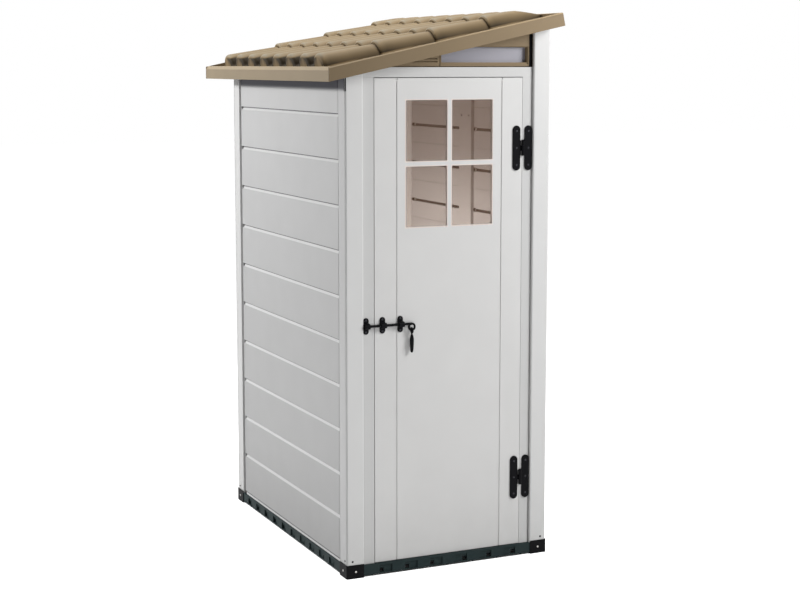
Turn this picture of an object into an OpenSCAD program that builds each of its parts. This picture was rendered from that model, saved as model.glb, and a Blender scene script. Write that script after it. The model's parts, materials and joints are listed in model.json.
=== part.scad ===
// Narrow lean-to garden shed of hollow moulded panels.
// The pieces slot together: floor tiles, corner feet, corner posts, wall panels,
// a framed door with a glazed top, two strap hinges, a sliding bolt and a tiled roof.
// Sizes are millimetres. Inside on_base() the origin is the front left corner of the base.

/* [Base] */
// Width of the base, across the door side
base_w = 780; // [760:1:900]
// Depth of the base, from front to back
base_d = 1150; // [1000:1:1500]
// Height of the floor above the ground
floor_h = 42; // [36:1:56]
// Thickness of a floor tile's plate and ribs
floor_wall = 3; // [2.5:0.5:4]
// Depth of the edge band that holds a floor tile's pockets
edge_band = 9; // [8:0.5:12]
// Height that a floor tile's edge is lifted off the ground
edge_lift = 6; // [4:0.5:10]
// Length of each arm of a corner foot
foot_w = 65; // [60:1:75]
// Thickness of a corner foot's outer wall
foot_wall = 3; // [2:0.5:5]
// Height that a corner foot's rim rises above the floor
foot_rim = 6; // [4:0.5:10]

/* [Walls] */
// Height of one wall board, from groove to groove
board_pitch = 154.6; // [145:0.1:165]
// Number of boards in the low wall
board_count = 11; // [10:1:12]
// Extra height below the first board
wall_foot = 13; // [10:0.5:20]
// Thickness of a wall panel
panel_t = 26; // [24:0.5:32]
// Thickness of the skins of the hollow panels
skin = 2; // [1.6:0.1:2.6]
// Depth of the groove between two boards
groove_d = 6; // [4:0.5:7]
// Height of the groove between two boards
groove_h = 13; // [9:0.5:16]
// Depth of a wall panel's face behind the posts' faces
panel_recess = 4; // [3:0.5:6]
// Width of the plain strip beside each post
panel_rebate = 13; // [11:1:30]
// Depth of the slots that stiffen a wall panel's inner face
slot_d = 4; // [3:0.5:6]
// Height of those slots
slot_h = 8; // [5:0.5:10]
// Width of the vertical batten inside each side wall
batten_w = 100; // [80:1:120]
// Thickness of the vertical batten
batten_t = 12; // [9:0.5:16]

/* [Posts and door frame] */
// Width of a corner post's arm
post_w = 64; // [58:1:68]
// Wall of a corner post
post_wall = 3; // [2.5:0.5:4]
// Radius of a post's rounded free edge
post_edge_r = 5; // [3:0.5:6]
// Depth of the door frame behind the posts' faces
frame_recess = 11; // [11:0.5:14]
// Width of the left jamb between its post and the door's gap
left_jamb_w = 43.1; // [34:0.1:60]
// Height of the beam over the door
lintel_h = 34; // [28:1:40]
// Gap round the door
door_gap = 2.4; // [2:0.2:4]
// Gap between the door and the jamb that it hangs on
hinge_gap = 1.2; // [1:0.1:2.4]
// Gap under the door
door_rise = 1.5; // [1:0.5:4]
// Width that the door stop covers behind the door
stop_w = 12; // [8:1:16]
// Thickness of the door stop
stop_t = 6; // [5:0.5:8]
// Width of the open seams beside the posts and under the gables
seam_w = 3; // [2:0.5:4]
// Depth of those seams
seam_d = 8; // [5:0.5:10]

/* [Door] */
// Thickness of the door
door_t = 28; // [26:0.5:32]
// Width of the door's side boards, to the groove
stile_w = 82; // [74:1:90]
// Distance from a door groove to the window
light_side = 35; // [25:1:60]
// Height of one window opening in the door
light_h = 208; // [180:1:230]
// Width of the window bars
bar_w = 18; // [14:0.5:24]
// Distance from the door's top to its window
light_drop = 75; // [65:1:100]
// Thickness of the clear sheets
sheet_t = 3; // [2:0.5:4]
// Width that a clear sheet laps behind its opening
sheet_lap = 9; // [6:0.5:12]
// Depth of the clear sheets behind the door's face
sheet_recess = 5; // [4:0.5:10]

/* [Hinges] */
// Distance of each hinge's middle from the door's top or bottom
hinge_inset = 246; // [180:1:320]
// Height of a hinge bar
hinge_h = 157; // [130:1:180]
// Width of a hinge bar
hinge_bar_w = 29; // [24:0.5:30]
// Thickness of a hinge leaf
hinge_t = 4; // [3:0.5:5]
// Height of the joined middle of a hinge
hinge_band_h = 53; // [40:1:64]
// Radius of the hinge knuckles
knuckle_r = 6; // [5.5:0.25:6.5]
// Radius of the hinge pins
pin_r = 2.5; // [2:0.1:3]
// Running gap between pin and knuckle
pin_fit = 0.05; // [0.03:0.01:0.08]

/* [Bolt] */
// Height of the bolt above the ground
bolt_h = 878; // [700:1:1050]
// Radius of the bolt rod
rod_r = 4.6; // [4:0.1:5]
// Running gap between the rod and its guides
rod_fit = 0.1; // [0.05:0.01:0.2]
// Distance of the rod's middle in front of the door
rod_stand = 12; // [12:0.5:14]
// Travel of the bolt
bolt_travel = 14; // [10:0.5:16]
// Width of a bolt staple
staple_w = 20; // [16:0.5:24]
// Height of a bolt staple
staple_h = 57; // [52:1:70]
// Thickness of a staple's foot
staple_t = 3; // [2.5:0.5:4]
// Distance from the door's left edge to the first guide staple's middle
guide_inset = 28; // [22:1:36]
// Distance between the two guide staples
guide_pitch = 67; // [55:1:80]
// Radius of the bolt's eye, at the middle of its wire
eye_r = 11; // [10:0.5:13]
// Radius of the eye's wire
eye_wire = 3.6; // [3:0.1:4]
// Radius of the drop handle's ring, at the middle of its wire
ring_r = 8; // [7.6:0.1:8.4]
// Radius of the drop handle's ring wire
ring_wire = 3; // [2.6:0.1:3.2]
// Length of the drop handle's grip
grip_len = 70; // [55:1:90]
// Radius of the drop handle's grip
grip_r = 7.2; // [6:0.1:8]

/* [Gables] */
// Depth of the gable panels behind the posts' faces
gable_recess = 17; // [15:0.5:24]
// Height of the gable window
gable_light_h = 53; // [40:1:56]
// Height of the gable window above the beam over the door
gable_light_rise = 16; // [12:1:20]
// Height left between the gable window's low end and the ceiling sheet
gable_rim = 8.2; // [7:0.2:14]
// Distance from the gable window to the right post
gable_light_inset = 18; // [12:1:30]
// Length of the vent slots in the left gable panel
vent_len = 97; // [60:1:110]
// Height of a vent slot
vent_h = 3.5; // [2.5:0.5:5]

/* [Roof] */
// Slope of the roof in degrees
roof_slope = 12.1; // [11.8:0.1:14]
// Overhang at the low side
eave_overhang = 89; // [60:1:120]
// Overhang at the high side
high_overhang = 15; // [15:1:30]
// Overhang at the front and the back
end_overhang = 77; // [50:1:110]
// Height of the boards round the roof
fascia_h = 46; // [40:1:60]
// Thickness of the boards round the roof
fascia_t = 9; // [7:0.5:9]
// Height of the boards above the roof's flat margin
fascia_lip = 12; // [8:0.5:16]
// Height of the sloping edge along the eave board's top
eave_edge = 10; // [6:0.5:12]
// Thickness of the ledge under the ceiling sheet
ledge_t = 3.5; // [2.5:0.5:5]
// Width of the ledge under the ceiling sheet
ledge_w = 16; // [12:1:24]
// Thickness of the ceiling sheet
deck_t = 5; // [4:0.5:6]
// Thickness of the tile moulding
tile_skin = 2.5; // [2:0.1:3]
// Number of tile rows up the slope
tier_count = 4; // [3:1:5]
// Height of the step from one tile row to the next
tier_step = 7; // [4:0.5:9]
// Distance between two barrels
barrel_pitch = 135; // [120:1:150]
// Radius of a barrel at the low end of its tile
barrel_r = 51; // [46:0.5:56]
// Depth of a barrel's middle below the plate that it stands on
barrel_sink = 8; // [0:0.5:12]
// Radius lost along one tile
barrel_taper = 5; // [3:0.5:7]
// Width of the flat margin at the eave
eave_margin = 27; // [20:1:50]
// Width of the flat margins at the front and the back, at least
end_margin = 116; // [100:1:140]
// Length of the sloping tail at the top of the last tiles
tail_len = 78; // [50:1:100]

/* [Fasteners] */
// Radius of a screw head
head_r = 3.6; // [3:0.1:4]
// Height of a screw head
head_h = 1.6; // [1.2:0.1:2.2]
// Radius of a screw shank
shank_r = 1.8; // [1.5:0.1:2]
// Length of a screw below its head
screw_len = 15; // [12:0.5:18]

/* [Hidden] */

// Gap between pieces that slot together, gap between sheets laid on each other, and overlap of
// cutting bodies
clear = 0.3;
seat = 0.1;
cut = 1;
round_fn = 48;

WHITE = "gainsboro";
TAN = "tan";
BLACK = "#202124";
GREEN = "darkslategray";
GLASS = "lightsteelblue";
STEEL = "silver";

// Heights of the walls
wall_bottom = floor_h;
first_groove = wall_bottom + wall_foot + board_pitch;
low_wall_h = wall_bottom + wall_foot + board_count * board_pitch;

// Roof: the underside of the ceiling sheet passes over the low wall's outer top edge
slope_sin = sin(roof_slope);
slope_cos = cos(roof_slope);
slope_tan = tan(roof_slope);
sheet_stack = deck_t + tile_skin;
fascia_drop = fascia_h - fascia_lip;
roof_w = base_w + eave_overhang + high_overhang;
roof_d = base_d + 2 * end_overhang;
roof_len = (roof_w - fascia_drop * slope_sin) / slope_cos;
margin_z = low_wall_h - slope_tan * (eave_overhang + panel_recess) + sheet_stack / slope_cos;
function under_z(x) = low_wall_h + slope_tan * (x - panel_recess);
function roof_z(x, w) = margin_z + slope_tan * (x + eave_overhang) + w / slope_cos;
function roof_point(u, w) = [
  -eave_overhang + u * slope_cos - w * slope_sin, margin_z + u * slope_sin + w * slope_cos
];

// Posts: what each arm's channel holds, measured in from the post's outer face
side_face = panel_recess + groove_d;
side_back = panel_recess + panel_t + clear;
frame_back = frame_recess + door_t;
frame_channel = frame_back + clear;
side_tube = side_back + post_wall;
front_tube = frame_channel + post_wall;
field_start = post_w + panel_rebate;

// Wall panels: the vertical bed under each board, the scored line half way up it, and the holes
// at one end of each groove and slot
bed = groove_h / 4;
score_d = 1;
hole_len = 16;
hole_in = 10;

// Door and its frame. The right jamb is as wide as the hinge bar on it needs
bar_gap = 3;
bar_side_gap = 1.3;
hinge_offset = knuckle_r + bar_gap;
hinge_mid = hinge_offset + hinge_bar_w / 2;
left_jamb_edge = post_w + left_jamb_w;
right_jamb_edge = base_w - post_w - bar_side_gap - hinge_bar_w - hinge_offset + hinge_gap / 2;
door_left = left_jamb_edge + door_gap;
door_right = right_jamb_edge - hinge_gap;
door_w = door_right - door_left;
door_bottom = floor_h + door_rise;
lintel_bottom = low_wall_h - lintel_h;
door_top = lintel_bottom - door_gap;
door_h = door_top - door_bottom;
door_mid = (door_left + door_right) / 2;
web_t = 10;
retainer_t = 8;
retainer_ease = 3;
pane_y = frame_recess + sheet_recess;
door_groove_d = 2.5;
door_groove_w = 5;
door_groove_end = 11;
notch_side = 8;
notch_rise = 6;
door_rib = 2 * skin;
light_corner_r = 4;
light_w = (door_w - 2 * stile_w - 2 * light_side - bar_w) / 2;
light_xs = [door_mid - bar_w / 2 - light_w, door_mid + bar_w / 2];
light_zs = [door_top - light_drop - light_h, door_top - light_drop - 2 * light_h - bar_w];
window_w = 2 * (light_w + sheet_lap) + bar_w;
window_h = 2 * (light_h + sheet_lap) + bar_w;

// Hinges: the pin stands in the gap beside the door, in front of its face
hinge_x = door_right + hinge_gap / 2;
pin_stand = 3;
hinge_y = frame_recess - hinge_t - pin_stand;
hinge_zs = [door_top - hinge_inset, door_bottom + hinge_inset];
hinge_screw_in = 19;
hinge_screw_pitch = hinge_h / 2 - hinge_screw_in;
knuckle_gap = 0.3;
knuckle_h = (hinge_band_h - 2 * knuckle_gap) / 3;

// Bolt
rod_y = frame_recess - rod_stand;
hump_wall = 5;
hump_r = rod_r + hump_wall;
guide_x = [door_left + guide_inset, door_left + guide_inset + guide_pitch];
keeper_gap = 2;
keeper_x = post_w + keeper_gap + staple_w / 2;
rod_clear = 2;
rod_left = keeper_x + staple_w / 2 + rod_clear;
eye_outer = eye_r + eye_wire;
eye_stop = 1;
eye_x = guide_x[1] + staple_w / 2 + eye_stop + bolt_travel + eye_outer;
eye_z = bolt_h - eye_r;
eye_low_z = eye_z - eye_r;
ring_hole = ring_r - ring_wire;
ring_z = eye_low_z - (ring_hole - eye_wire - clear);
staple_screw_in = 8;
door_webs = [guide_x[0], guide_x[1], hinge_x - hinge_mid];
door_cells = [
  [door_left + door_rib, door_webs[0] - web_t / 2],
  [door_webs[0] + web_t / 2, door_webs[1] - web_t / 2],
  [door_webs[1] + web_t / 2, door_mid - door_rib / 2],
  [door_mid + door_rib / 2, door_right - stile_w],
  [door_right - stile_w + door_rib, door_webs[2] - web_t / 2],
  [door_webs[2] + web_t / 2, door_right - door_rib]
];

// Gables, flush with the back of the door frame. The window fills the height that the roof leaves
gable_t = frame_back - gable_recess;
light_left = panel_recess + (gable_light_rise + gable_light_h + gable_rim) / slope_tan;
gable_light_w = base_w - post_w - gable_light_inset - light_left;
split_gap = 8;
tongue_t = 6;
gable_split = light_left - split_gap;
light_z = low_wall_h + gable_light_rise;
band_h = 7;
band_w = 3;
band_d = 3;
vent_rise = 18;
vent_pitch = 10;
vent_d = 6;

// Roof tiles
field_edge = 4;
field_len = roof_len - 2 * fascia_t - field_edge - eave_margin;
tier_len = field_len / tier_count;
tier_tilt = asin(tier_step / tier_len);
barrel_half = sqrt(pow(barrel_r, 2) - pow(barrel_sink, 2));
barrel_count = floor((roof_d - 2 * (fascia_t + end_margin + barrel_half)) / barrel_pitch) + 1;
first_barrel = (roof_d - (barrel_count - 1) * barrel_pitch) / 2;
field_front = first_barrel - barrel_half - field_edge;
field_back = roof_d - field_front;
nose_r = 14;
row_lift = 1.5;
tail_end_h = 10;

// Floor tiles and screws
tile_w = base_w / 2;
tile_d = base_d / 2;
pocket_w = 48;
pocket_h = 25;
pocket_rise = 4;
pocket_d = 5;
notch_w = 17;
notch_h = 14;
foot_reach = foot_w - foot_wall;
foot_screw_in = foot_reach / 2;
foot_screw_z = (floor_h + edge_lift) / 2;
post_screw_in = 20;
post_screw_rise = 12;
post_screw_z = floor_h + foot_rim + post_screw_rise;
batten_screw_in = 185;
batten_screw_edge = 20;

// Everything is drawn from the base's front left corner; the origin lies under the roof's middle
module on_base() {
  translate([eave_overhang - roof_w / 2, -base_d / 2, 0]) children();
}

// Frame of the roof's flat margin: x up the slope from the eave, z square to the roof
module on_roof() {
  translate([-eave_overhang, -end_overhang, margin_z]) rotate([0, -roof_slope, 0]) children();
}

// Turns a drawing in x and z into a board of depth d that starts at y
module along_y(y, d) {
  translate([0, y + d, 0]) rotate([90, 0, 0]) linear_extrude(d) children();
}

// Everything above the ceiling sheet's underside
module above_walls() {
  along_y(-cut, base_d + 2 * cut)
    polygon([
      [-cut, under_z(-cut)], [base_w + cut, under_z(base_w + cut)],
      [base_w + cut, under_z(base_w) + base_w], [-cut, under_z(base_w) + base_w]
    ]);
}

// Rectangle with round corners, from true arcs
module soft_rect(w, h, r) {
  if (w > 2 * r) translate([r, 0]) square([w - 2 * r, h]);
  translate([0, r]) square([w, h - 2 * r]);
  for (x = [r, w - r], y = [r, h - r]) translate([x, y]) circle(r, $fn = round_fn);
}

// Pan head screw that points along +y, its head seated at y = 0
module screw() {
  rotate([90, 0, 0]) {
    cylinder(h = head_h / 2, r = head_r, $fn = round_fn);
    translate([0, 0, head_h / 2])
      cylinder(h = head_h / 2, r1 = head_r, r2 = head_r - head_h / 2, $fn = round_fn);
    translate([0, 0, -screw_len]) cylinder(h = screw_len, r = shank_r, $fn = round_fn);
  }
}

// Hole for that screw
module screw_hole() {
  translate([0, -cut, 0]) rotate([-90, 0, 0])
    cylinder(h = screw_len + 2 * cut, r = shank_r + pin_fit, $fn = round_fn);
}

// Copies a drawing made for the front left corner to another corner
module at_corner(right, back) {
  translate([right ? base_w : 0, back ? base_d : 0, 0])
    mirror([right ? 1 : 0, 0, 0]) mirror([0, back ? 1 : 0, 0]) children();
}

// Places children on the two outer faces of the front left corner, at a distance and a height
module on_both_faces(along, out, z) {
  translate([along, -out, z]) children();
  translate([-out, along, z]) mirror([1, -1, 0]) children();
}

// Edge of a floor tile: a band along x with one pocket in each rib bay, first bays left plain
module tile_edge(len, bays, first, last) {
  bay = len / bays;
  difference() {
    translate([0, 0, edge_lift]) cube([len, edge_band, floor_h - edge_lift]);
    for (i = [first:last]) translate([(i + 0.5) * bay, 0, 0]) {
      translate([-pocket_w / 2, -cut, edge_lift + pocket_rise]) {
        cube([pocket_w, pocket_d + cut, pocket_h]);
        cube([notch_w, edge_band + 2 * cut, notch_h]);
      }
    }
  }
}

// One floor tile, drawn for the front left corner: plate, ribs, plain inner edges, pocketed outer edges
module floor_tile(front_first, front_last, side_first, side_last) {
  x_bays = 4;
  y_bays = 6;
  color(GREEN) difference() {
    union() {
      translate([0, 0, floor_h - floor_wall]) cube([tile_w, tile_d, floor_wall]);
      for (i = [1:x_bays]) translate([i * tile_w / x_bays - floor_wall, edge_band / 2, 0])
        cube([floor_wall, tile_d - edge_band / 2, floor_h - floor_wall / 2]);
      for (i = [1:y_bays]) translate([edge_band / 2, i * tile_d / y_bays - floor_wall, 0])
        cube([tile_w - edge_band / 2, floor_wall, floor_h - floor_wall / 2]);
      tile_edge(tile_w, x_bays, front_first, front_last);
      mirror([1, -1, 0]) tile_edge(tile_d, y_bays, side_first, side_last);
    }
    on_both_faces(foot_screw_in, foot_wall, foot_screw_z) screw_hole();
  }
}

module floor_tile_front_left() { on_base() at_corner(false, false) floor_tile(1, 3, 1, 5); }
module floor_tile_front_right() { on_base() at_corner(true, false) floor_tile(1, 3, 1, 5); }
module floor_tile_back_left() { on_base() at_corner(false, true) floor_tile(1, 3, 1, 5); }
module floor_tile_back_right() { on_base() at_corner(true, true) floor_tile(1, 3, 1, 5); }

// Corner foot: a shoe of two outer walls and a sole under the tile's edge
module corner_foot() {
  corner_r = 5;
  module outline() {
    difference() {
      translate([-foot_wall, -foot_wall]) soft_rect(foot_w + corner_r, foot_w + corner_r, corner_r);
      translate([foot_reach, -foot_w]) square(3 * foot_w);
      translate([-foot_w, foot_reach]) square(3 * foot_w);
    }
  }
  color(BLACK) difference() {
    linear_extrude(floor_h + foot_rim) outline();
    translate([0, 0, edge_lift]) cube([foot_w, foot_w, floor_h + foot_rim]);
    on_both_faces(foot_screw_in, foot_wall, foot_screw_z) screw_hole();
  }
}

module corner_foot_front_left() { on_base() at_corner(false, false) corner_foot(); }
module corner_foot_front_right() { on_base() at_corner(true, false) corner_foot(); }
module corner_foot_back_left() { on_base() at_corner(false, true) corner_foot(); }
module corner_foot_back_right() { on_base() at_corner(true, true) corner_foot(); }

module foot_screws() {
  color(STEEL) on_base() for (right = [false, true], back = [false, true]) at_corner(right, back)
    on_both_faces(foot_screw_in, foot_wall, foot_screw_z) screw();
}

module post_screws() {
  color(STEEL) on_base() for (right = [false, true], back = [false, true]) at_corner(right, back)
    on_both_faces(post_screw_in, 0, post_screw_z) screw();
}

// Section of a corner post: a square tube with two arms, each arm a face plate and a back skin
// that hold what slots in between
module post_section(x_face, x_back, y_face, y_back) {
  tube_x = y_back + post_wall;
  tube_y = x_back + post_wall;
  edge_r = post_edge_r;
  line_w = 3;
  line_d = post_wall * 0.6;
  difference() {
    union() {
      difference() {
        soft_rect(tube_x + edge_r, tube_y + edge_r, edge_r);
        translate([tube_x, -cut]) square(2 * tube_x);
        translate([-cut, tube_y]) square(2 * tube_x);
      }
      intersection() {
        translate([tube_x - cut, 0]) square([post_w - tube_x + cut, x_face]);
        soft_rect(post_w, tube_x + tube_y, edge_r);
      }
      translate([0, tube_y - cut]) square([y_face, post_w - tube_y + cut]);
      translate([tube_x - cut, x_back]) square([post_w - tube_x + cut, post_wall]);
      translate([y_back, tube_y - cut]) square([post_wall, post_w - tube_y + cut]);
    }
    translate([post_wall, post_wall]) square([tube_x - 2 * post_wall, tube_y - 2 * post_wall]);
    translate([tube_x, post_wall]) square([post_w - edge_r - tube_x, x_face - 2 * post_wall]);
    translate([-cut, edge_r]) square([cut + line_d, line_w]);
  }
}

module corner_post(x_face, x_back, right, back) {
  color(WHITE) on_base() difference() {
    at_corner(right, back) difference() {
      translate([0, 0, wall_bottom]) linear_extrude(under_z(base_w) - wall_bottom)
        post_section(x_face, x_back, side_face, side_back);
      on_both_faces(post_screw_in, 0, post_screw_z) screw_hole();
    }
    above_walls();
  }
}

module front_left_post() { corner_post(frame_recess, frame_channel, false, false); }
module front_right_post() { corner_post(frame_recess, frame_channel, true, false); }
module back_left_post() { corner_post(side_face, side_back, false, true); }
module back_right_post() { corner_post(side_face, side_back, true, true); }

// Heights of the grooves between the boards of a wall panel
function board_joints(face_top, back_top) =
  let (count = floor((min(face_top, back_top) - first_groove + board_pitch / 2) / board_pitch) + 1)
  [for (i = [0:count - 1]) if (first_groove + i * board_pitch < face_top - groove_h)
    first_groove + i * board_pitch];

// Top of the slot in the inner face, half a board below a joint
function slot_top(joint) = joint - board_pitch / 2;

// Section of a wall panel of stacked boards, face at x = 0, back at x = panel_t.
// front cuts the face back where a panel enters a post; grooved draws the boards.
module panel_section(face_top, back_top, front, grooved) {
  joints = board_joints(face_top, back_top);
  last = len(joints) - 1;
  front_top = face_top + (back_top - face_top) * front / panel_t;
  face_points = !grooved ? [] : [for (z = joints)
    each [[0, z - groove_h], [groove_d, z - bed], [groove_d, z], [0, z]]];
  back_points = !grooved ? [] : [for (i = [last:-1:0]) each [
    [panel_t, joints[i] + score_d], [panel_t - score_d, joints[i]], [panel_t, joints[i] - score_d],
    [panel_t, slot_top(joints[i])], [panel_t - slot_d, slot_top(joints[i])],
    [panel_t - slot_d, slot_top(joints[i]) - slot_h], [panel_t, slot_top(joints[i]) - slot_h]
  ]];
  difference() {
    polygon(concat(
      [[front, wall_bottom]], face_points, [[front, front_top], [panel_t, back_top]], back_points,
      [[panel_t, wall_bottom]]
    ));
    for (i = [-1:last]) {
      low = (i < 0 ? wall_bottom : joints[i]) + skin;
      high = (i < last ? joints[i + 1] - bed : min(face_top, back_top)) - skin;
      over_slot = i < last ? slot_top(joints[i + 1]) + skin : low;
      under_slot = over_slot - slot_h - 2 * skin;
      polygon(concat(
        [[front + skin, low], [front + skin, grooved ? high - groove_h : high],
          [groove_d + skin, high], [panel_t - skin, high]],
        i == last ? [] : [[panel_t - skin, over_slot], [panel_t - skin - slot_d, over_slot],
          [panel_t - skin - slot_d, under_slot], [panel_t - skin, under_slot]],
        [[panel_t - skin, low]]
      ));
    }
  }
}

// A wall panel along y from the front posts to the back posts: grooved field, plain ends in the
// posts. Each groove ends in a hole at the far side, and so does each slot before the given places.
module wall_panel(length, start, end, face_top, back_top, slot_ends) {
  difference() {
    union() {
      along_y(start, field_start - start)
        panel_section(face_top, back_top, groove_d, false);
      along_y(field_start, length - 2 * field_start)
        panel_section(face_top, back_top, 0, true);
      along_y(length - field_start, field_start - end)
        panel_section(face_top, back_top, groove_d, false);
    }
    for (z = board_joints(face_top, back_top)) {
      translate([-cut, length - field_start - hole_in, z - groove_h])
        cube([groove_d + skin + 2 * cut, hole_len, groove_h]);
      for (y = slot_ends)
        translate([panel_t - slot_d - skin - 2 * cut, y - hole_len, slot_top(z) - (slot_h + groove_h) / 2])
          cube([slot_d + skin + 3 * cut, hole_len, groove_h]);
    }
  }
}

module side_wall(x_face, x_back) {
  wall_panel(base_d, front_tube + cut, side_tube + cut, under_z(x_face), under_z(x_back),
    [(base_d - batten_w) / 2, base_d - field_start]);
}

// Screw places on a side wall's batten, as the low wall's: children point outwards
module on_batten() {
  top = low_wall_h - wall_bottom;
  side = batten_w / 2 - batten_screw_edge;
  for (y = [-1, 1], z = [batten_screw_in, top / 2, top - batten_screw_in])
    translate([panel_recess + panel_t + batten_t, base_d / 2 + y * side, wall_bottom + z])
      rotate([0, 0, 90]) children();
}

module left_wall_panel() {
  color(WHITE) on_base() difference() {
    translate([panel_recess, 0, 0]) side_wall(panel_recess, panel_recess + panel_t);
    on_batten() screw_hole();
  }
}

module right_wall_panel() {
  color(WHITE) on_base() difference() {
    translate([base_w - panel_recess, 0, 0]) mirror([1, 0, 0])
      side_wall(base_w - panel_recess, base_w - panel_recess - panel_t);
    at_corner(true, false) on_batten() screw_hole();
  }
}

module back_wall_panel() {
  color(WHITE) on_base() translate([0, base_d - panel_recess, 0]) mirror([0, 1, 0])
    mirror([1, -1, 0])
      wall_panel(base_w, side_tube + cut, side_tube + cut, low_wall_h, low_wall_h, [base_w - field_start]);
}

// Channel shaped batten that stiffens a side wall half way back
module wall_batten(right) {
  rail = 2 * skin;
  color(WHITE) on_base() difference() {
    at_corner(right, false) difference() {
      translate([panel_recess + panel_t, (base_d - batten_w) / 2, wall_bottom])
        cube([batten_t, batten_w, under_z(base_w)]);
      translate([panel_recess + panel_t - cut, (base_d - batten_w) / 2 + rail, 0])
        cube([batten_t + cut - rail, batten_w - 2 * rail, 2 * under_z(base_w)]);
      on_batten() screw_hole();
    }
    above_walls();
  }
}

module left_wall_batten() { wall_batten(false); }
module right_wall_batten() { wall_batten(true); }

module batten_screws() {
  color(BLACK) on_base() for (right = [false, true]) at_corner(right, false) on_batten() screw();
}

// Section of a door jamb: edge is where the door's gap starts, web the line that screws bite in.
// A seam stays open beside the post.
module jamb_section(start, edge, web, gap) {
  wall = 2 * skin;
  back_start = post_w + cut;
  difference() {
    union() {
      translate([start, frame_recess]) square([edge - start, door_t]);
      translate([back_start, frame_back - cut]) square([edge - back_start, stop_t + cut + clear]);
      translate([edge - cut, frame_back + clear]) square([stop_w + gap + cut, stop_t]);
    }
    translate([post_w, frame_recess - cut]) square([seam_w, cut + seam_d]);
    translate([start + wall, frame_recess + seam_d + wall])
      square([web - web_t / 2 - start - wall, door_t - seam_d - 2 * wall]);
    translate([web + web_t / 2, frame_recess + wall])
      square([edge - wall - web - web_t / 2, door_t - 2 * wall]);
  }
}

// A jamb, drawn as the left one
module jamb(edge, web, gap) {
  translate([0, 0, wall_bottom]) linear_extrude(lintel_bottom - wall_bottom)
    jamb_section(side_tube + cut, edge, web, gap);
}

module left_jamb() {
  color(WHITE) on_base() difference() {
    jamb(left_jamb_edge, keeper_x, door_gap);
    at_staple(keeper_x) screw_hole();
  }
}

module right_jamb() {
  color(WHITE) on_base() difference() {
    at_corner(true, false) jamb(base_w - right_jamb_edge, base_w - hinge_x - hinge_mid, hinge_gap);
    at_hinge_screws(1) screw_hole();
  }
}

// Hollow beam over the door, with the top of the door stop
module lintel() {
  wall = 2 * skin;
  start = side_tube + cut;
  length = base_w - 2 * start;
  stop_from = left_jamb_edge + door_gap + stop_w + clear;
  stop_to = right_jamb_edge - hinge_gap - stop_w - clear;
  color(WHITE) on_base() {
    difference() {
      translate([start, frame_recess, lintel_bottom]) cube([length, door_t, lintel_h]);
      translate([0, frame_recess + wall, lintel_bottom + wall])
        cube([base_w, door_t - 2 * wall, lintel_h - 2 * wall]);
      for (x = [post_w, base_w - post_w - seam_w])
        translate([x, frame_recess - cut, lintel_bottom - cut])
          cube([seam_w, cut + wall + cut, lintel_h + 2 * cut]);
    }
    translate([post_w + cut, frame_back - cut, lintel_bottom])
      cube([base_w - 2 * (post_w + cut), stop_t + cut + clear, lintel_h]);
    translate([stop_from, frame_back + clear, door_top - stop_w])
      cube([stop_to - stop_from, stop_t, stop_w + door_gap + cut]);
  }
}

// Blank of a gable panel between two x places, from the beam over the door to the ceiling sheet
module gable_blank(x0, x1, y, t) {
  along_y(y, t)
    polygon([[x0, low_wall_h], [x1, low_wall_h], [x1, under_z(x1)], [x0, under_z(x0)]]);
}

// Seam left open under the front gable's panels
module under_seam() {
  translate([0, gable_recess - cut, low_wall_h - cut]) cube([base_w, cut + seam_d, cut + seam_w]);
}

// Left panel of the front gable, with two vent slots
module gable_vent_panel() {
  slot_end = gable_split - band_h;
  color(TAN) on_base() difference() {
    gable_blank(side_tube + cut, gable_split, gable_recess, gable_t);
    for (i = [0, 1]) translate([slot_end, gable_recess, low_wall_h + vent_rise + i * vent_pitch]) {
      translate([-vent_len, -cut, -vent_h / 2]) cube([vent_len - vent_h / 2, cut + vent_d, vent_h]);
      translate([-vent_h / 2, -cut, 0]) rotate([-90, 0, 0])
        cylinder(h = cut + vent_d, r = vent_h / 2, $fn = round_fn);
    }
    under_seam();
  }
}

// Right panel of the front gable: seams at its foot and its left end, a thin tongue in the right
// post, and the window's sunk border, opening and rebate
module gable_window_frame() {
  color(TAN) on_base() difference() {
    gable_blank(gable_split, base_w - side_tube - cut, gable_recess, gable_t);
    under_seam();
    translate([gable_split - cut, gable_recess - cut, low_wall_h - cut])
      cube([cut + seam_w, cut + seam_d, base_w]);
    translate([base_w - post_w - seam_w, gable_recess - cut, low_wall_h - cut])
      cube([post_w, cut + gable_t - tongue_t, base_w]);
    translate([light_left - band_w, gable_recess - cut, light_z - band_h])
      cube([gable_light_w + 2 * band_w, cut + band_d, gable_light_h + band_h + band_w]);
    translate([light_left, gable_recess - cut, light_z])
      cube([gable_light_w, gable_t + 2 * cut, gable_light_h]);
    translate([light_left - band_w, gable_recess + gable_t - sheet_t, light_z - band_w])
      cube([gable_light_w + 2 * band_w, sheet_t + cut, gable_light_h + 2 * band_w]);
  }
}

module gable_window_pane() {
  color(GLASS) on_base()
    translate([light_left - band_w, gable_recess + gable_t - sheet_t, light_z - band_w])
      cube([gable_light_w + 2 * band_w, sheet_t, gable_light_h + 2 * band_w]);
}

module back_gable_panel() {
  start = side_tube + cut;
  color(TAN) on_base()
    gable_blank(start, base_w - start, base_d - panel_recess - panel_t, panel_t - groove_d);
}

// Flat sheet under the tiles that closes the room and lies on the walls
module roof_ceiling_sheet() {
  edge = fascia_t + seat;
  inner = -eave_overhang + edge;
  low = -sheet_stack + seat;
  high = -tile_skin - seat;
  color(WHITE) on_base() along_y(-end_overhang + edge, roof_d - 2 * edge)
    polygon([
      [inner, roof_z(inner, low)], roof_point(roof_len - edge, low),
      roof_point(roof_len - edge, high), [inner, roof_z(inner, high)]
    ]);
}

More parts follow.
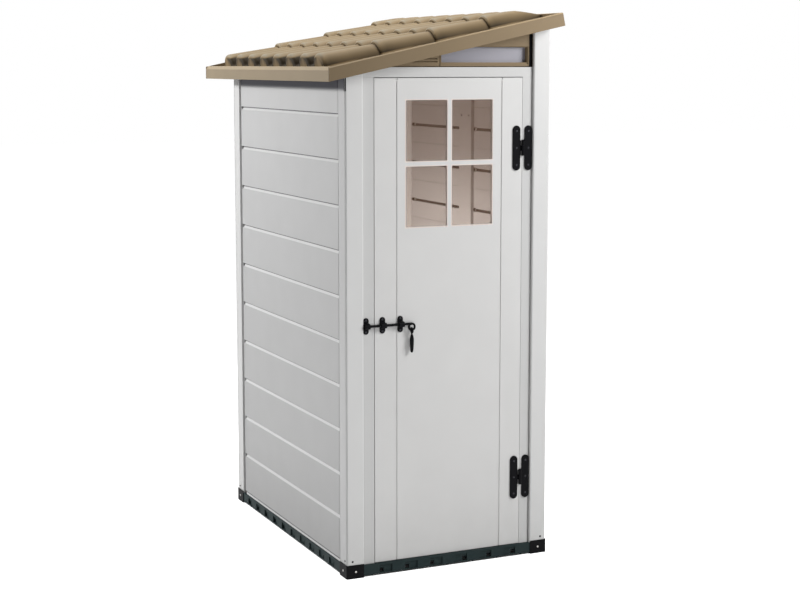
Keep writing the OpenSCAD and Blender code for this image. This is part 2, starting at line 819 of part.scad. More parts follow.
// Barrel along the slope, with a round nose at its low end
module barrel(low_r, high_r, length, nose) {
  nose_points = [for (a = [0:30:90]) [low_r - nose + nose * sin(a), nose - nose * cos(a)]];
  rotate([0, 90, 0]) rotate_extrude($fn = 2 * round_fn)
    polygon(concat([[0, 0]], nose_points, [[high_r, length], [0, length]]));
}

// One tile row: a tilted plate that carries the barrels, as a solid or, smaller, as its hollow.
// The last row's barrels are cut down to a sloping tail.
module tile_row(row, shrink) {
  depth = 30;
  nose = row == 0 ? nose_r : nose_r / 4;
  length = tier_len / cos(tier_tilt);
  tail_angle = atan((barrel_r - barrel_taper - barrel_sink - tail_end_h) / tail_len);
  translate([fascia_t + eave_margin + row * tier_len, 0, row_lift + tier_step]) rotate([0, tier_tilt, 0])
    difference() {
      union() {
        translate([shrink, field_front + shrink, -depth])
          cube([length - shrink, field_back - field_front - 2 * shrink, depth - shrink]);
        for (i = [0:barrel_count - 1])
          translate([shrink, first_barrel + i * barrel_pitch, -barrel_sink])
            barrel(barrel_r - shrink, barrel_r - barrel_taper - shrink, length - shrink, nose);
      }
      if (row == tier_count - 1)
        translate([length, 0, tail_end_h - shrink]) rotate([0, tail_angle, 0])
          translate([-length, 0, 0]) cube([2 * length, roof_d, 2 * barrel_r]);
    }
}

// Moulded roof skin: flat margins round rows of half round tiles, hollow below
module roof_tile_moulding() {
  color(TAN) on_base() on_roof() difference() {
    union() {
      translate([fascia_t + clear, fascia_t + seat, -tile_skin])
        cube([roof_len - 2 * fascia_t - clear - seat, roof_d - 2 * (fascia_t + seat), tile_skin]);
      intersection() {
        for (row = [0:tier_count - 1]) tile_row(row, 0);
        translate([0, 0, -tile_skin]) cube([roof_len, roof_d, 2 * barrel_r]);
      }
    }
    for (row = [0:tier_count - 1]) tile_row(row, tile_skin);
  }
}

// Drawing of the board along the eave, upright, with its ledge
module eave_section() {
  outer = -eave_overhang;
  inner = outer + fascia_t;
  tip = inner + ledge_w;
  low = -sheet_stack - ledge_t;
  polygon([
    [outer, roof_z(outer, -fascia_drop)], [inner, roof_z(inner, -fascia_drop)],
    [inner, roof_z(inner, low)], [tip, roof_z(tip, low)], [tip, roof_z(tip, -sheet_stack)],
    [inner, roof_z(inner, -sheet_stack)], [inner, roof_z(inner, fascia_lip)],
    [outer + fascia_t / 2, roof_z(outer + fascia_t / 2, fascia_lip)],
    [outer, roof_z(outer, fascia_lip) - eave_edge]
  ]);
}

module eave_fascia() {
  color(TAN) on_base() along_y(-end_overhang + fascia_t, roof_d - 2 * fascia_t) eave_section();
}

module high_fascia() {
  color(TAN) on_base() on_roof() translate([roof_len - fascia_t, fascia_t, -fascia_drop])
    cube([fascia_t, roof_d - 2 * fascia_t, fascia_h]);
}

// Sloping board over a gable end, drawn as the front one, with its ledge and its chamfered top
module barge_board() {
  outer = -eave_overhang;
  tip = outer + fascia_t + ledge_w;
  ledge_u = roof_len - fascia_t;
  difference() {
    translate([0, -end_overhang, 0]) {
      along_y(0, fascia_t) polygon([
        [outer, roof_z(outer, -fascia_drop)], roof_point(roof_len, -fascia_drop),
        roof_point(roof_len, fascia_lip), [outer, roof_z(outer, fascia_lip)]
      ]);
      along_y(fascia_t / 2, fascia_t / 2 + ledge_w) polygon([
        [tip, roof_z(tip, -sheet_stack - ledge_t)], roof_point(ledge_u, -sheet_stack - ledge_t),
        roof_point(ledge_u, -sheet_stack), [tip, roof_z(tip, -sheet_stack)]
      ]);
    }
    on_roof() translate([-fascia_h, 0, fascia_lip]) rotate([45, 0, 0])
      translate([0, -fascia_t / 4, -fascia_t / 4])
        cube([roof_len + 2 * fascia_h, fascia_t / 2, fascia_t / 2]);
  }
}

module front_barge_board() { color(TAN) on_base() barge_board(); }
module back_barge_board() { color(TAN) on_base() at_corner(false, true) barge_board(); }

// Screw places of both hinges' bars: side 1 is the frame, -1 the door
module at_hinge_screws(side) {
  for (z = hinge_zs, i = [-1:1])
    translate([hinge_x + side * hinge_mid, frame_recess - hinge_t, z + i * hinge_screw_pitch]) children();
}

// Hinge leaf: bar, band and the knuckles in the height slots given, counted 0 to 2 upwards
module hinge_leaf(slots, side, z) {
  strap_t = hinge_t - 1;
  slot_h = knuckle_h + knuckle_gap;
  color(BLACK) on_base() difference() {
    translate([hinge_x, 0, z]) mirror([side > 0 ? 0 : 1, 0, 0]) difference() {
      union() {
        translate([hinge_offset, frame_recess, -hinge_h / 2]) rotate([90, 0, 0]) linear_extrude(hinge_t)
          soft_rect(hinge_bar_w, hinge_h, hinge_bar_w / 2);
        translate([knuckle_r + cut, frame_recess - hinge_t, -hinge_band_h / 2])
          cube([hinge_bar_w / 2, hinge_t, hinge_band_h]);
        for (i = slots) translate([0, 0, i * slot_h - hinge_band_h / 2]) {
          translate([0, hinge_y, 0]) cylinder(h = knuckle_h, r = knuckle_r, $fn = round_fn);
          translate([0, frame_recess - hinge_t - cut, 0])
            cube([knuckle_r + 2 * cut, strap_t, knuckle_h]);
        }
      }
      translate([0, hinge_y, -hinge_h])
        cylinder(h = 2 * hinge_h, r = pin_r + pin_fit, $fn = round_fn);
    }
    at_hinge_screws(side) screw_hole();
  }
}

module upper_hinge_frame_leaf() { hinge_leaf([0, 2], 1, hinge_zs[0]); }
module lower_hinge_frame_leaf() { hinge_leaf([0, 2], 1, hinge_zs[1]); }
module upper_hinge_door_leaf() { hinge_leaf([1], -1, hinge_zs[0]); }
module lower_hinge_door_leaf() { hinge_leaf([1], -1, hinge_zs[1]); }

// Headed pin that hangs in the frame leaf's top knuckle
module hinge_pin(z) {
  pin_head_h = 2.5;
  pin_head_r = knuckle_r - 1;
  top = hinge_band_h / 2;
  color(BLACK) on_base() translate([hinge_x, hinge_y, z]) {
    translate([0, 0, -top]) cylinder(h = 2 * top + cut, r = pin_r, $fn = round_fn);
    translate([0, 0, top]) cylinder(h = pin_head_h, r = pin_head_r, $fn = round_fn);
  }
}

module upper_hinge_pin() { hinge_pin(hinge_zs[0]); }
module lower_hinge_pin() { hinge_pin(hinge_zs[1]); }

module frame_hinge_screws() { color(BLACK) on_base() at_hinge_screws(1) screw(); }
module door_hinge_screws() { color(BLACK) on_base() at_hinge_screws(-1) screw(); }

// Screw places of a staple at x
module at_staple(x) {
  for (side = [-1, 1])
    translate([x, frame_recess - staple_t, bolt_h + side * (staple_h / 2 - staple_screw_in)]) children();
}

// Staple: a round ended foot with a bored hump that guides or takes the rod
module staple(x, fit) {
  color(BLACK) on_base() difference() {
    union() {
      translate([x - staple_w / 2, frame_recess, bolt_h - staple_h / 2]) rotate([90, 0, 0])
        linear_extrude(staple_t) soft_rect(staple_w, staple_h, staple_w / 2);
      translate([x - staple_w / 2, rod_y, bolt_h]) rotate([0, 90, 0])
        cylinder(h = staple_w, r = hump_r, $fn = round_fn);
      translate([x - staple_w / 2, rod_y, bolt_h - hump_r])
        cube([staple_w, rod_stand - staple_t / 2, 2 * hump_r]);
    }
    translate([x - staple_w, rod_y, bolt_h]) rotate([0, 90, 0])
      cylinder(h = 2 * staple_w, r = rod_r + fit, $fn = round_fn);
    at_staple(x) screw_hole();
  }
}

module bolt_keeper() { staple(keeper_x, 4 * rod_fit); }
module outer_bolt_guide() { staple(guide_x[0], rod_fit); }
module inner_bolt_guide() { staple(guide_x[1], rod_fit); }
module keeper_screws() { color(BLACK) on_base() at_staple(keeper_x) screw(); }
module guide_screws() { color(BLACK) on_base() for (x = guide_x) at_staple(x) screw(); }

// Round rod, drawn just clear of its keeper, ending in an eye that hangs below it
module bolt_rod() {
  tip = 1.5;
  color(BLACK) on_base() {
    translate([rod_left, rod_y, bolt_h]) rotate([0, 90, 0]) {
      cylinder(h = tip, r1 = rod_r - tip, r2 = rod_r, $fn = round_fn);
      translate([0, 0, tip]) cylinder(h = eye_x - rod_left - tip, r = rod_r, $fn = round_fn);
    }
    translate([eye_x, rod_y, eye_z]) rotate([90, 0, 0])
      rotate_extrude($fn = 2 * round_fn) translate([eye_r, 0]) circle(eye_wire, $fn = round_fn);
  }
}

// Drop handle: a ring through the eye, a narrow neck and a grip that swells and tapers
module drop_handle() {
  neck_r = ring_wire;
  neck_len = 5;
  swell_len = 20;
  cap_len = 7;
  end_r = grip_r - 2;
  taper_len = grip_len - neck_len - swell_len - cap_len;
  color(BLACK) on_base() translate([eye_x, rod_y, ring_z]) {
    rotate([0, 90, 0]) rotate_extrude($fn = 2 * round_fn)
      translate([ring_r, 0]) circle(ring_wire, $fn = round_fn);
    translate([0, 0, -ring_r]) mirror([0, 0, 1]) rotate_extrude($fn = round_fn)
      polygon(concat(
        [[0, 0], [neck_r, 0], [neck_r, neck_len]],
        [for (t = [0.125:0.125:1])
          [neck_r + (grip_r - neck_r) * sin(90 * t), neck_len + swell_len * t]],
        [for (t = [0.25:0.25:1])
          [grip_r + (end_r - grip_r) * t * t, neck_len + swell_len + taper_len * t]],
        [for (a = [22.5:22.5:67.5]) [end_r * cos(a), grip_len - cap_len * (1 - sin(a))]],
        [[0, grip_len]]
      ));
  }
}

// Hollow cell of the door, behind the outer skin and its grooves
module door_cell(x0, x1, z0, z1) {
  wall = 1.25 * skin;
  translate([x0, frame_recess + wall + door_groove_d, z0])
    cube([x1 - x0, door_t - 2 * wall - door_groove_d, z1 - z0]);
}

// Door panel: side boards and middle marked by two grooves, four window openings, hollow cells
module door_panel() {
  color(WHITE) on_base() difference() {
    translate([door_left, frame_recess, door_bottom]) cube([door_w, door_t, door_h]);
    for (x = [door_left + stile_w, door_right - stile_w])
      translate([x - door_groove_w / 2, frame_recess - cut, door_bottom - cut])
        cube([door_groove_w, cut + door_groove_d, door_h + cut - door_groove_end]);
    for (x = [door_left + stile_w, door_right - stile_w])
      translate([x - notch_side / 2, frame_recess - cut, door_top - notch_rise])
        cube([notch_side, cut + door_groove_d, notch_rise + cut]);
    for (x = light_xs, z = light_zs) translate([x, frame_recess - cut, z]) rotate([-90, 0, 0])
      linear_extrude(door_t + 2 * cut) mirror([0, 1, 0]) soft_rect(light_w, light_h, light_corner_r);
    translate([light_xs[0] - sheet_lap, pane_y, light_zs[1] - sheet_lap])
      cube([window_w, door_t, window_h]);
    for (c = door_cells) {
      door_cell(c[0], c[1], door_bottom - cut, light_zs[1] - sheet_lap - door_rib);
      if (c[1] < light_xs[0] - sheet_lap || c[0] > light_xs[1] + light_w + sheet_lap)
        door_cell(c[0], c[1], door_bottom - cut, door_top - door_rib);
    }
    at_hinge_screws(-1) screw_hole();
    for (x = guide_x) at_staple(x) screw_hole();
  }
}

// Clear sheet behind the four openings
module door_window_pane() {
  color(GLASS) on_base() translate([light_xs[0] - sheet_lap, pane_y, light_zs[1] - sheet_lap])
    cube([window_w, sheet_t, window_h]);
}

// Frame with a cross that clips in behind the clear sheet, its openings a little larger
module door_window_retainer() {
  color(WHITE) on_base() difference() {
    translate([light_xs[0] - sheet_lap, pane_y + sheet_t, light_zs[1] - sheet_lap])
      cube([window_w, retainer_t, window_h]);
    for (x = light_xs, z = light_zs)
      translate([x - retainer_ease, frame_recess - cut, z - retainer_ease]) rotate([-90, 0, 0])
        linear_extrude(door_t + 2 * cut) mirror([0, 1, 0])
          soft_rect(light_w + 2 * retainer_ease, light_h + 2 * retainer_ease, light_corner_r);
  }
}

floor_tile_front_left();
floor_tile_front_right();
floor_tile_back_left();
floor_tile_back_right();
corner_foot_front_left();
corner_foot_front_right();
corner_foot_back_left();
corner_foot_back_right();
foot_screws();
post_screws();
left_wall_panel();
right_wall_panel();
back_wall_panel();
front_left_post();
front_right_post();
back_left_post();
back_right_post();
left_wall_batten();
right_wall_batten();
batten_screws();
left_jamb();
right_jamb();
lintel();
gable_vent_panel();
gable_window_frame();
gable_window_pane();
back_gable_panel();
roof_ceiling_sheet();
roof_tile_moulding();
eave_fascia();
high_fascia();
front_barge_board();
back_barge_board();
upper_hinge_frame_leaf();
lower_hinge_frame_leaf();
upper_hinge_pin();
lower_hinge_pin();
frame_hinge_screws();
bolt_keeper();
keeper_screws();
door_panel();
door_window_pane();
door_window_retainer();
upper_hinge_door_leaf();
lower_hinge_door_leaf();
door_hinge_screws();
outer_bolt_guide();
inner_bolt_guide();
guide_screws();
bolt_rod();
drop_handle();
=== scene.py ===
# %% [markdown]
# # A narrow garden shed
# The shed is made of moulded plastic: hollow white wall panels between white corner posts, a framed
# white door with a small window, a tan roof with rows of half round tiles, and a dark green base. The
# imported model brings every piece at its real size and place, in metres. This script gives each piece its
# finish, adds the forms that a solid model leaves plain, and sets the light and the camera.

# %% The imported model
import json
import math

import bpy
import numpy as np
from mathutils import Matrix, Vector


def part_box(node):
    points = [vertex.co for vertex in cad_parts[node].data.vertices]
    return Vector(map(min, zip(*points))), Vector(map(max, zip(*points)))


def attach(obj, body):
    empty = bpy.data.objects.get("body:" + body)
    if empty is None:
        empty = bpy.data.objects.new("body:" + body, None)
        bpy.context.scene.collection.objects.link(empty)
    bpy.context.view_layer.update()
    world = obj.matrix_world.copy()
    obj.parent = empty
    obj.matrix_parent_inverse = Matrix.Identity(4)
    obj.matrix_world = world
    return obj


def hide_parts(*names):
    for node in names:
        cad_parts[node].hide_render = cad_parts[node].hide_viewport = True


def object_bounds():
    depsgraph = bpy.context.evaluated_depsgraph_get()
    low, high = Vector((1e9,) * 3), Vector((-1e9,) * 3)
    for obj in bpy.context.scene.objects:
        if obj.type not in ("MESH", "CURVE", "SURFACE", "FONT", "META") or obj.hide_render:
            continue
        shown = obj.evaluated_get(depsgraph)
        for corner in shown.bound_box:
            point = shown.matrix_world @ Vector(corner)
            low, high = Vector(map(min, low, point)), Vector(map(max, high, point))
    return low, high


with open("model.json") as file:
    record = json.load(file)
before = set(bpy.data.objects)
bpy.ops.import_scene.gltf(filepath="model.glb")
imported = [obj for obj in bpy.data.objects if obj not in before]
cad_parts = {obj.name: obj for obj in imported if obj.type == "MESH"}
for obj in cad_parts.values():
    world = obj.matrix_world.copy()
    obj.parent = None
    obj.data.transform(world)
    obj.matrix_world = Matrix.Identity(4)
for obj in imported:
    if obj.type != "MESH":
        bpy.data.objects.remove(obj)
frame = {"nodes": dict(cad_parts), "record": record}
nodes = frame["nodes"]
cad_low, cad_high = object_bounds()
print("pieces in the packed model:", len(nodes))

# %% [markdown]
# ## Camera
# In the photograph the shed's verticals stay parallel, as a view camera draws them: its lens is shifted
# and not tilted. A big shift would push the shed out of the frame in the other views, so this camera
# shares the work: it tilts down a little and shifts the rest. The lens, the place and the turn come from
# a fit to the straight edges of the shed.

# %% Camera
CAMERA_PLACE = Vector((-2.4357, -5.567, 1.7655))
CAMERA_TURN = 24.570
CAMERA_TILT = 7.043
LENS_PIXELS = 1617.3
PICTURE_WIDTH = 800
SENSOR_WIDTH = 36
LENS_SHIFT = 0.045


def put_in_scene(name, data):
    """An object at the origin with the given mesh, lamp or camera."""
    made = bpy.data.objects.new(name, data)
    bpy.context.collection.objects.link(made)
    return made


def shed_camera():
    """Stands the camera at its place, turned to the right and tilted down, both in degrees."""
    data = bpy.data.cameras.new("shed_camera")
    data.sensor_width = SENSOR_WIDTH
    data.lens = LENS_PIXELS / PICTURE_WIDTH * SENSOR_WIDTH
    data.shift_y = -LENS_SHIFT
    camera = put_in_scene("shed_camera", data)
    camera.location = CAMERA_PLACE
    camera.rotation_euler = (math.radians(90 - CAMERA_TILT), 0, -math.radians(CAMERA_TURN))
    bpy.context.scene.camera = camera
    return camera


print("lens in millimetres:", round(shed_camera().data.lens, 2))

# %% [markdown]
# ## Lamps
# Soft lamps keep the shadows pale, as in a catalogue picture. One stands close by on the right, so the
# front grows brighter towards that side. One stands level with the eave on the left: it can't reach
# behind the eave board, which leaves the dark band along the top of the long wall, deepened by a painted
# shadow in the wall's finish. One hangs over the roof, and a small one inside shows the room through the
# window.

# %% Lamps
LAMPS = {
    "high_right_lamp": {"place": (2.0, -2.4, 2.6), "size": (1.2, 1.2), "power": 77},
    "low_front_lamp": {"place": (-0.7, -3.4, 0.4), "size": (1.2, 0.6), "power": 16,
                       "aim": (-0.3, -0.57, 0.6)},
    "left_lamp": {"place": (-3.4, 1.5, 2.65), "size": (2.4, 0.4), "power": 105},
    "roof_lamp": {"place": (0.2, 0.3, 4.4), "size": (1.5, 1.5), "power": 70},
    "room_lamp": {"place": (-0.15, 0.0, 0.66), "size": (0.35, 0.35), "power": 8.2,
                  "aim": (0.38, 0.1, 1.0), "colour": (1, 0.88, 0.80)},
}
SHED_MIDDLE = (0, 0, 1.0)


def soft_lamp(name, place, size, power, aim=SHED_MIDDLE, colour=(1, 1, 1)):
    """A lamp of a given width and height that faces the place it is aimed at."""
    data = bpy.data.lights.new(name, "AREA")
    data.shape = "RECTANGLE"
    data.size, data.size_y = size
    data.energy = power
    data.color = colour
    lamp = put_in_scene(name, data)
    lamp.location = place
    lamp.rotation_euler = (Vector(aim) - lamp.location).to_track_quat("-Z", "Y").to_euler()


for lamp_name, lamp_values in LAMPS.items():
    soft_lamp(lamp_name, **lamp_values)
print("lamps:", len(LAMPS))

# %% [markdown]
# ## Tools for nodes
# Every finish is a tree of shader nodes, and so are the sky and the ground. Each node could be added and
# linked by hand, in four or five lines. A few helpers do that work instead: an input takes a number, a
# colour or the output of another node, and each helper hands its own output on.

# %% Adding nodes
def fill(tree, node, inputs):
    """Fills a node's inputs, by name or number, with numbers, colours or other nodes' outputs."""
    for key, value in inputs.items():
        if isinstance(value, bpy.types.NodeSocket):
            tree.links.new(value, node.inputs[key])
        else:
            node.inputs[key].default_value = value


def add(tree, kind, inputs=None, **settings):
    """Adds a node, sets its operation, blend type and the like by name, and fills its inputs."""
    made = tree.nodes.new(kind)
    for key, value in settings.items():
        setattr(made, key, value)
    fill(tree, made, inputs or {})
    return made


def math_node(tree, operation, *values, clamp=False):
    """One sum on outputs or numbers."""
    inputs = dict(enumerate(values))
    return add(tree, "ShaderNodeMath", inputs, operation=operation, use_clamp=clamp).outputs[0]


def map_range(tree, value, source=(0, 1), result=(0, 1), smooth=False):
    """Carries the source range over to the result range, evenly or eased at both ends."""
    inputs = {"Value": value, "From Min": source[0], "From Max": source[1],
              "To Min": result[0], "To Max": result[1]}
    course = "SMOOTHSTEP" if smooth else "LINEAR"
    return add(tree, "ShaderNodeMapRange", inputs, interpolation_type=course).outputs[0]


# %% Colours, places and masks
# A mix node has inputs for several kinds of value. These are the ones of a colour mix.
MIX_SHARE, MIX_LOW, MIX_HIGH, MIX_RESULT = 0, 6, 7, 2


def opaque(colour, times=1):
    """A colour made lighter or darker, with the fourth number that a colour input asks for."""
    return tuple(min(1, part * times) for part in colour) + (1,)


def mix_colour(tree, share, low, high, blend="MIX"):
    """low where share is 0 and high where it is 1."""
    inputs = {MIX_SHARE: share, MIX_LOW: low, MIX_HIGH: high}
    return add(tree, "ShaderNodeMix", inputs, data_type="RGBA", blend_type=blend).outputs[MIX_RESULT]


def place_axes(tree):
    """X, Y and Z of the place on the piece, in its own coordinates."""
    place = add(tree, "ShaderNodeTexCoord").outputs["Object"]
    return add(tree, "ShaderNodeSeparateXYZ", {0: place}).outputs


def facing_axes(tree):
    """X, Y and Z of the direction that the surface faces."""
    facing = add(tree, "ShaderNodeNewGeometry").outputs["Normal"]
    return add(tree, "ShaderNodeSeparateXYZ", {0: facing}).outputs


def noise(tree, scale, detail=2.0):
    """Noise from 0 to 1 that stays in place on the piece; scale is the number of patches per metre."""
    place = add(tree, "ShaderNodeTexCoord").outputs["Object"]
    inputs = {"Vector": place, "Scale": scale, "Detail": detail}
    return add(tree, "ShaderNodeTexNoise", inputs).outputs["Fac"]


def between(tree, value, low, high):
    """1 where the value lies between low and high, else 0."""
    above = math_node(tree, "GREATER_THAN", value, low)
    return math_node(tree, "MULTIPLY", above, math_node(tree, "LESS_THAN", value, high))


def in_box(tree, axes, box):
    """1 inside a box that is given by its sides in X and Y, else 0."""
    in_x, in_y = [between(tree, axes[axis], *box[axis]) for axis in ("X", "Y")]
    return math_node(tree, "MULTIPLY", in_x, in_y)


# %% [markdown]
# ## Sky and ground
# The background is plain white. A strong white sky would light the shed from all sides and wash its pale
# walls out, so the sky and the ground each have two faces: the camera, mirrors and glass see white, and
# every other ray meets a weaker light. The ground stays dark just below the shed, where the pockets of
# the base let the camera look under it.

# %% Sky and ground
WHITE = (1, 1, 1, 1)
SKY_LIGHT = 0.14
GROUND_REACH = 30
GROUND_GREY = (0.62, 0.62, 0.62, 1)
GROUND_GLOW = 0.87
BASE_INSET = 0.004

base_low, base_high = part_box("floor_tile_front_left")[0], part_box("floor_tile_back_right")[1]
BASE_BOX = {"X": (base_low.x + BASE_INSET, base_high.x - BASE_INSET),
            "Y": (base_low.y + BASE_INSET, base_high.y - BASE_INSET)}


def seen_or_lighting(tree, seen, lighting):
    """Gives seen to the camera, to glossy and to clear surfaces, and lighting to every other ray."""
    path = add(tree, "ShaderNodeLightPath").outputs
    clear = math_node(tree, "MAXIMUM", path["Is Glossy Ray"], path["Is Transmission Ray"])
    share = math_node(tree, "MAXIMUM", path["Is Camera Ray"], clear)
    return add(tree, "ShaderNodeMixShader", {0: share, 1: lighting, 2: seen}).outputs[0]


def white_world():
    """An even sky that lights the shed softly and looks plain white."""
    world = bpy.data.worlds.new("white_room")
    bpy.context.scene.world = world
    world.use_nodes = True
    tree = world.node_tree
    tree.nodes.clear()
    lighting = add(tree, "ShaderNodeBackground", {"Color": WHITE, "Strength": SKY_LIGHT}).outputs[0]
    seen = add(tree, "ShaderNodeBackground", {"Color": WHITE, "Strength": 1}).outputs[0]
    add(tree, "ShaderNodeOutputWorld", {"Surface": seen_or_lighting(tree, seen, lighting)})


def empty_material(name):
    """A material whose tree has no nodes yet."""
    material = bpy.data.materials.new(name)
    material.use_nodes = True
    material.node_tree.nodes.clear()
    return material, material.node_tree


def pale_floor():
    """A grey floor to the lamps' light, and a white, softly glowing one to the camera."""
    material, tree = empty_material("pale_floor")
    below = in_box(tree, place_axes(tree), BASE_BOX)
    strength = math_node(tree, "MULTIPLY_ADD", below, -GROUND_GLOW, GROUND_GLOW)
    white = add(tree, "ShaderNodeBsdfDiffuse", {"Color": WHITE}).outputs[0]
    glow = add(tree, "ShaderNodeEmission", {"Color": WHITE, "Strength": strength}).outputs[0]
    seen = add(tree, "ShaderNodeAddShader", {0: white, 1: glow}).outputs[0]
    grey = add(tree, "ShaderNodeBsdfDiffuse", {"Color": GROUND_GREY}).outputs[0]
    add(tree, "ShaderNodeOutputMaterial", {"Surface": seen_or_lighting(tree, seen, grey)})
    return material


def white_ground():
    """A wide flat square at the shed's foot."""
    mesh = bpy.data.meshes.new("ground")
    corners = [(x * GROUND_REACH, y * GROUND_REACH, 0) for x, y in ((-1, -1), (1, -1), (1, 1), (-1, 1))]
    mesh.from_pydata(corners, [], [(0, 1, 2, 3)])
    mesh.materials.append(pale_floor())
    ground = put_in_scene("ground", mesh)


white_world()
white_ground()
bpy.context.scene.view_settings.view_transform = "Standard"
print("the ground is dark below the base, in X:", [round(side, 3) for side in BASE_BOX["X"]])

# %% [markdown]
# ## Patterns that several finishes share
# Moulded plastic isn't one flat colour: the mould gives it a fine grain, the skin waves a little over
# the ribs behind it, and dust gathers low down, whose grey also paints shade low on the walls. Each could
# be written into every material, but a node group is built once and takes its sizes as inputs.

# %% Groups of nodes
def node_group(name, inputs, outputs):
    """A shader group with numbers going in, each with its usual value, and masks coming out."""
    group = bpy.data.node_groups.new(name, "ShaderNodeTree")
    for title, value in inputs.items():
        socket = group.interface.new_socket(title, in_out="INPUT", socket_type="NodeSocketFloat")
        socket.default_value = value
    for title in outputs:
        group.interface.new_socket(title, in_out="OUTPUT", socket_type="NodeSocketFloat")
    start = add(group, "NodeGroupInput").outputs
    end = add(group, "NodeGroupOutput")
    return group, start, end


# %% Mould grain
def mould_grain_group():
    """Height and shade of moulded plastic: fine grain, soft waves and a slow drift of the colour."""
    sizes = {"Grain Size": 0.0012, "Grain": 0.5, "Wave Size": 0.12, "Waves": 0.5}
    group, start, end = node_group("mould_grain", sizes, ("Height", "Shade"))
    grain = noise(group, math_node(group, "DIVIDE", 1, start["Grain Size"]), detail=3)
    wave = noise(group, math_node(group, "DIVIDE", 1, start["Wave Size"]), detail=1.5)
    fine = math_node(group, "MULTIPLY", grain, start["Grain"])
    slow = math_node(group, "MULTIPLY", wave, start["Waves"])
    fill(group, end, {"Height": math_node(group, "ADD", fine, slow), "Shade": wave})
    return group


MOULD_GRAIN = mould_grain_group()
print("nodes in the mould grain:", len(MOULD_GRAIN.nodes))


# %% Dust that gathers low down, also painted shade low on the walls
DUST_PATCHES = 14


def low_dust_and_shade_group():
    """A mask that is 1 at the ground and fades out over a height, broken up by noise."""
    group, start, end = node_group("low_dust_and_shade", {"Fade Height": 0.3, "Amount": 0.3}, ("Mask",))
    share = math_node(group, "DIVIDE", place_axes(group)["Z"], start["Fade Height"])
    low = math_node(group, "SUBTRACT", 1, share, clamp=True)
    broken = math_node(group, "MULTIPLY", low, noise(group, DUST_PATCHES, detail=5))
    fill(group, end, {"Mask": math_node(group, "MULTIPLY", broken, start["Amount"], clamp=True)})
    return group


LOW_DUST_AND_SHADE = low_dust_and_shade_group()
print("nodes in the low dust:", len(LOW_DUST_AND_SHADE.nodes))

# %% [markdown]
# ## Lines of the boards
# Each wall is one hollow moulding that looks like stacked boards. The grooves are in the solid model,
# but a groove of a few millimetres is too small for the lamps to darken fully, so masks paint light and
# shade into its colours: painted shade in the gap at the top of a groove, a painted highlight on the ledge
# below it, painted shade in the slots on the room's side and in the holes where grooves and slots end, the
# eave board's painted shadow on the long wall and painted shade in the room's upper part. An image could
# hold these lines, but worked out from the height of a board they fit the solid exactly.

# %% Places of the boards' lines
WALL_FOOT, BOARD_HEIGHT = 0.013, 0.1546
GROOVE_HEIGHT, SLOT_HEIGHT, GAP_HEIGHT = 0.013, 0.008, 0.0042
# How far the painted highlight of the ledge stays inside the groove, and how far the painted shade of
# slots and holes reaches past theirs.
LEDGE_MARGIN, SLOT_MARGIN, HOLE_MARGIN = 0.0005, 0.0015, 0.001
# Where the holes begin and end, from front to back.
GROOVE_HOLE = (0.486, 0.505)
SLOT_HOLES = ((-0.072, -0.05), (0.478, 0.498))
# A place in front of the shed, so that the boxes stay open there, and a hair's breadth.
BEFORE_FRONT = -0.6
FACE_MARGIN = 0.0002

left_wall, right_wall, back_wall = [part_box(side + "_wall_panel") for side in ("left", "right", "back")]
first_joint = left_wall[0].z + WALL_FOOT + BOARD_HEIGHT
# One box cuts through the middle of the walls' thickness, the other follows their inner faces.
INSIDE = {"X": ((left_wall[0].x + left_wall[1].x) / 2, (right_wall[0].x + right_wall[1].x) / 2),
          "Y": (BEFORE_FRONT, (back_wall[0].y + back_wall[1].y) / 2)}
ROOM = {"X": (left_wall[1].x + FACE_MARGIN, right_wall[0].x - FACE_MARGIN),
        "Y": (BEFORE_FRONT, back_wall[0].y - FACE_MARGIN)}
print("first joint at", round(first_joint, 4), "and one more every", BOARD_HEIGHT)

# %% Strength and colour of the boards' lines
# Tints of painted light: the gloom, gap, eave and deep masks paint shade, the ledge mask a highlight.
LINE_TINTS = {
    "Gloom": (0.4, (0.14, 0.10, 0.085, 1)),
    "Gap": (0.75, (0.08, 0.08, 0.085, 1)),
    "Ledge Highlight": (0.95, (0.98, 0.98, 0.98, 1)),
    "Eave Shadow": (0.92, (0.06, 0.06, 0.085, 1)),
    "Deep Shade": (1.0, (0.012, 0.008, 0.006, 1)),
}
# How dark the painted shade in the slots is, and the faint score below each joint.
SLOT_SHARE = 0.97
SCORE_SHARE, SCORE_HEIGHT = 0.3, 0.003
# Between two heights over the ground, the ledges' painted highlight grows fainter, and the eave's painted
# shadow and the room's painted shade set in.
HIGHLIGHT_HEIGHTS, HIGHLIGHT_SHARES = (0.4, 1.5), (1.0, 0.45)
EAVE_SHADOW_HEIGHTS, EAVE_SHADOW_SIDE = (1.672, 1.69), -0.34
GLOOM_HEIGHTS = (1.15, 1.55)
print("masks of the boards:", ", ".join(LINE_TINTS))


# %% Masks of the boards' lines
def joint_masks(tree, over, height, gap_height):
    """Groove, painted shade in the gap, and a painted highlight on the ledge that is fainter higher up;
    over is the height over a joint.
    """
    gap_start = math_node(tree, "SUBTRACT", BOARD_HEIGHT, gap_height)
    gap = math_node(tree, "GREATER_THAN", over, gap_start)
    groove = math_node(tree, "GREATER_THAN", over, BOARD_HEIGHT - GROOVE_HEIGHT + LEDGE_MARGIN)
    ledge = math_node(tree, "SUBTRACT", groove, gap, clamp=True)
    share = map_range(tree, height, HIGHLIGHT_HEIGHTS, HIGHLIGHT_SHARES)
    return groove, gap, math_node(tree, "MULTIPLY", ledge, share)


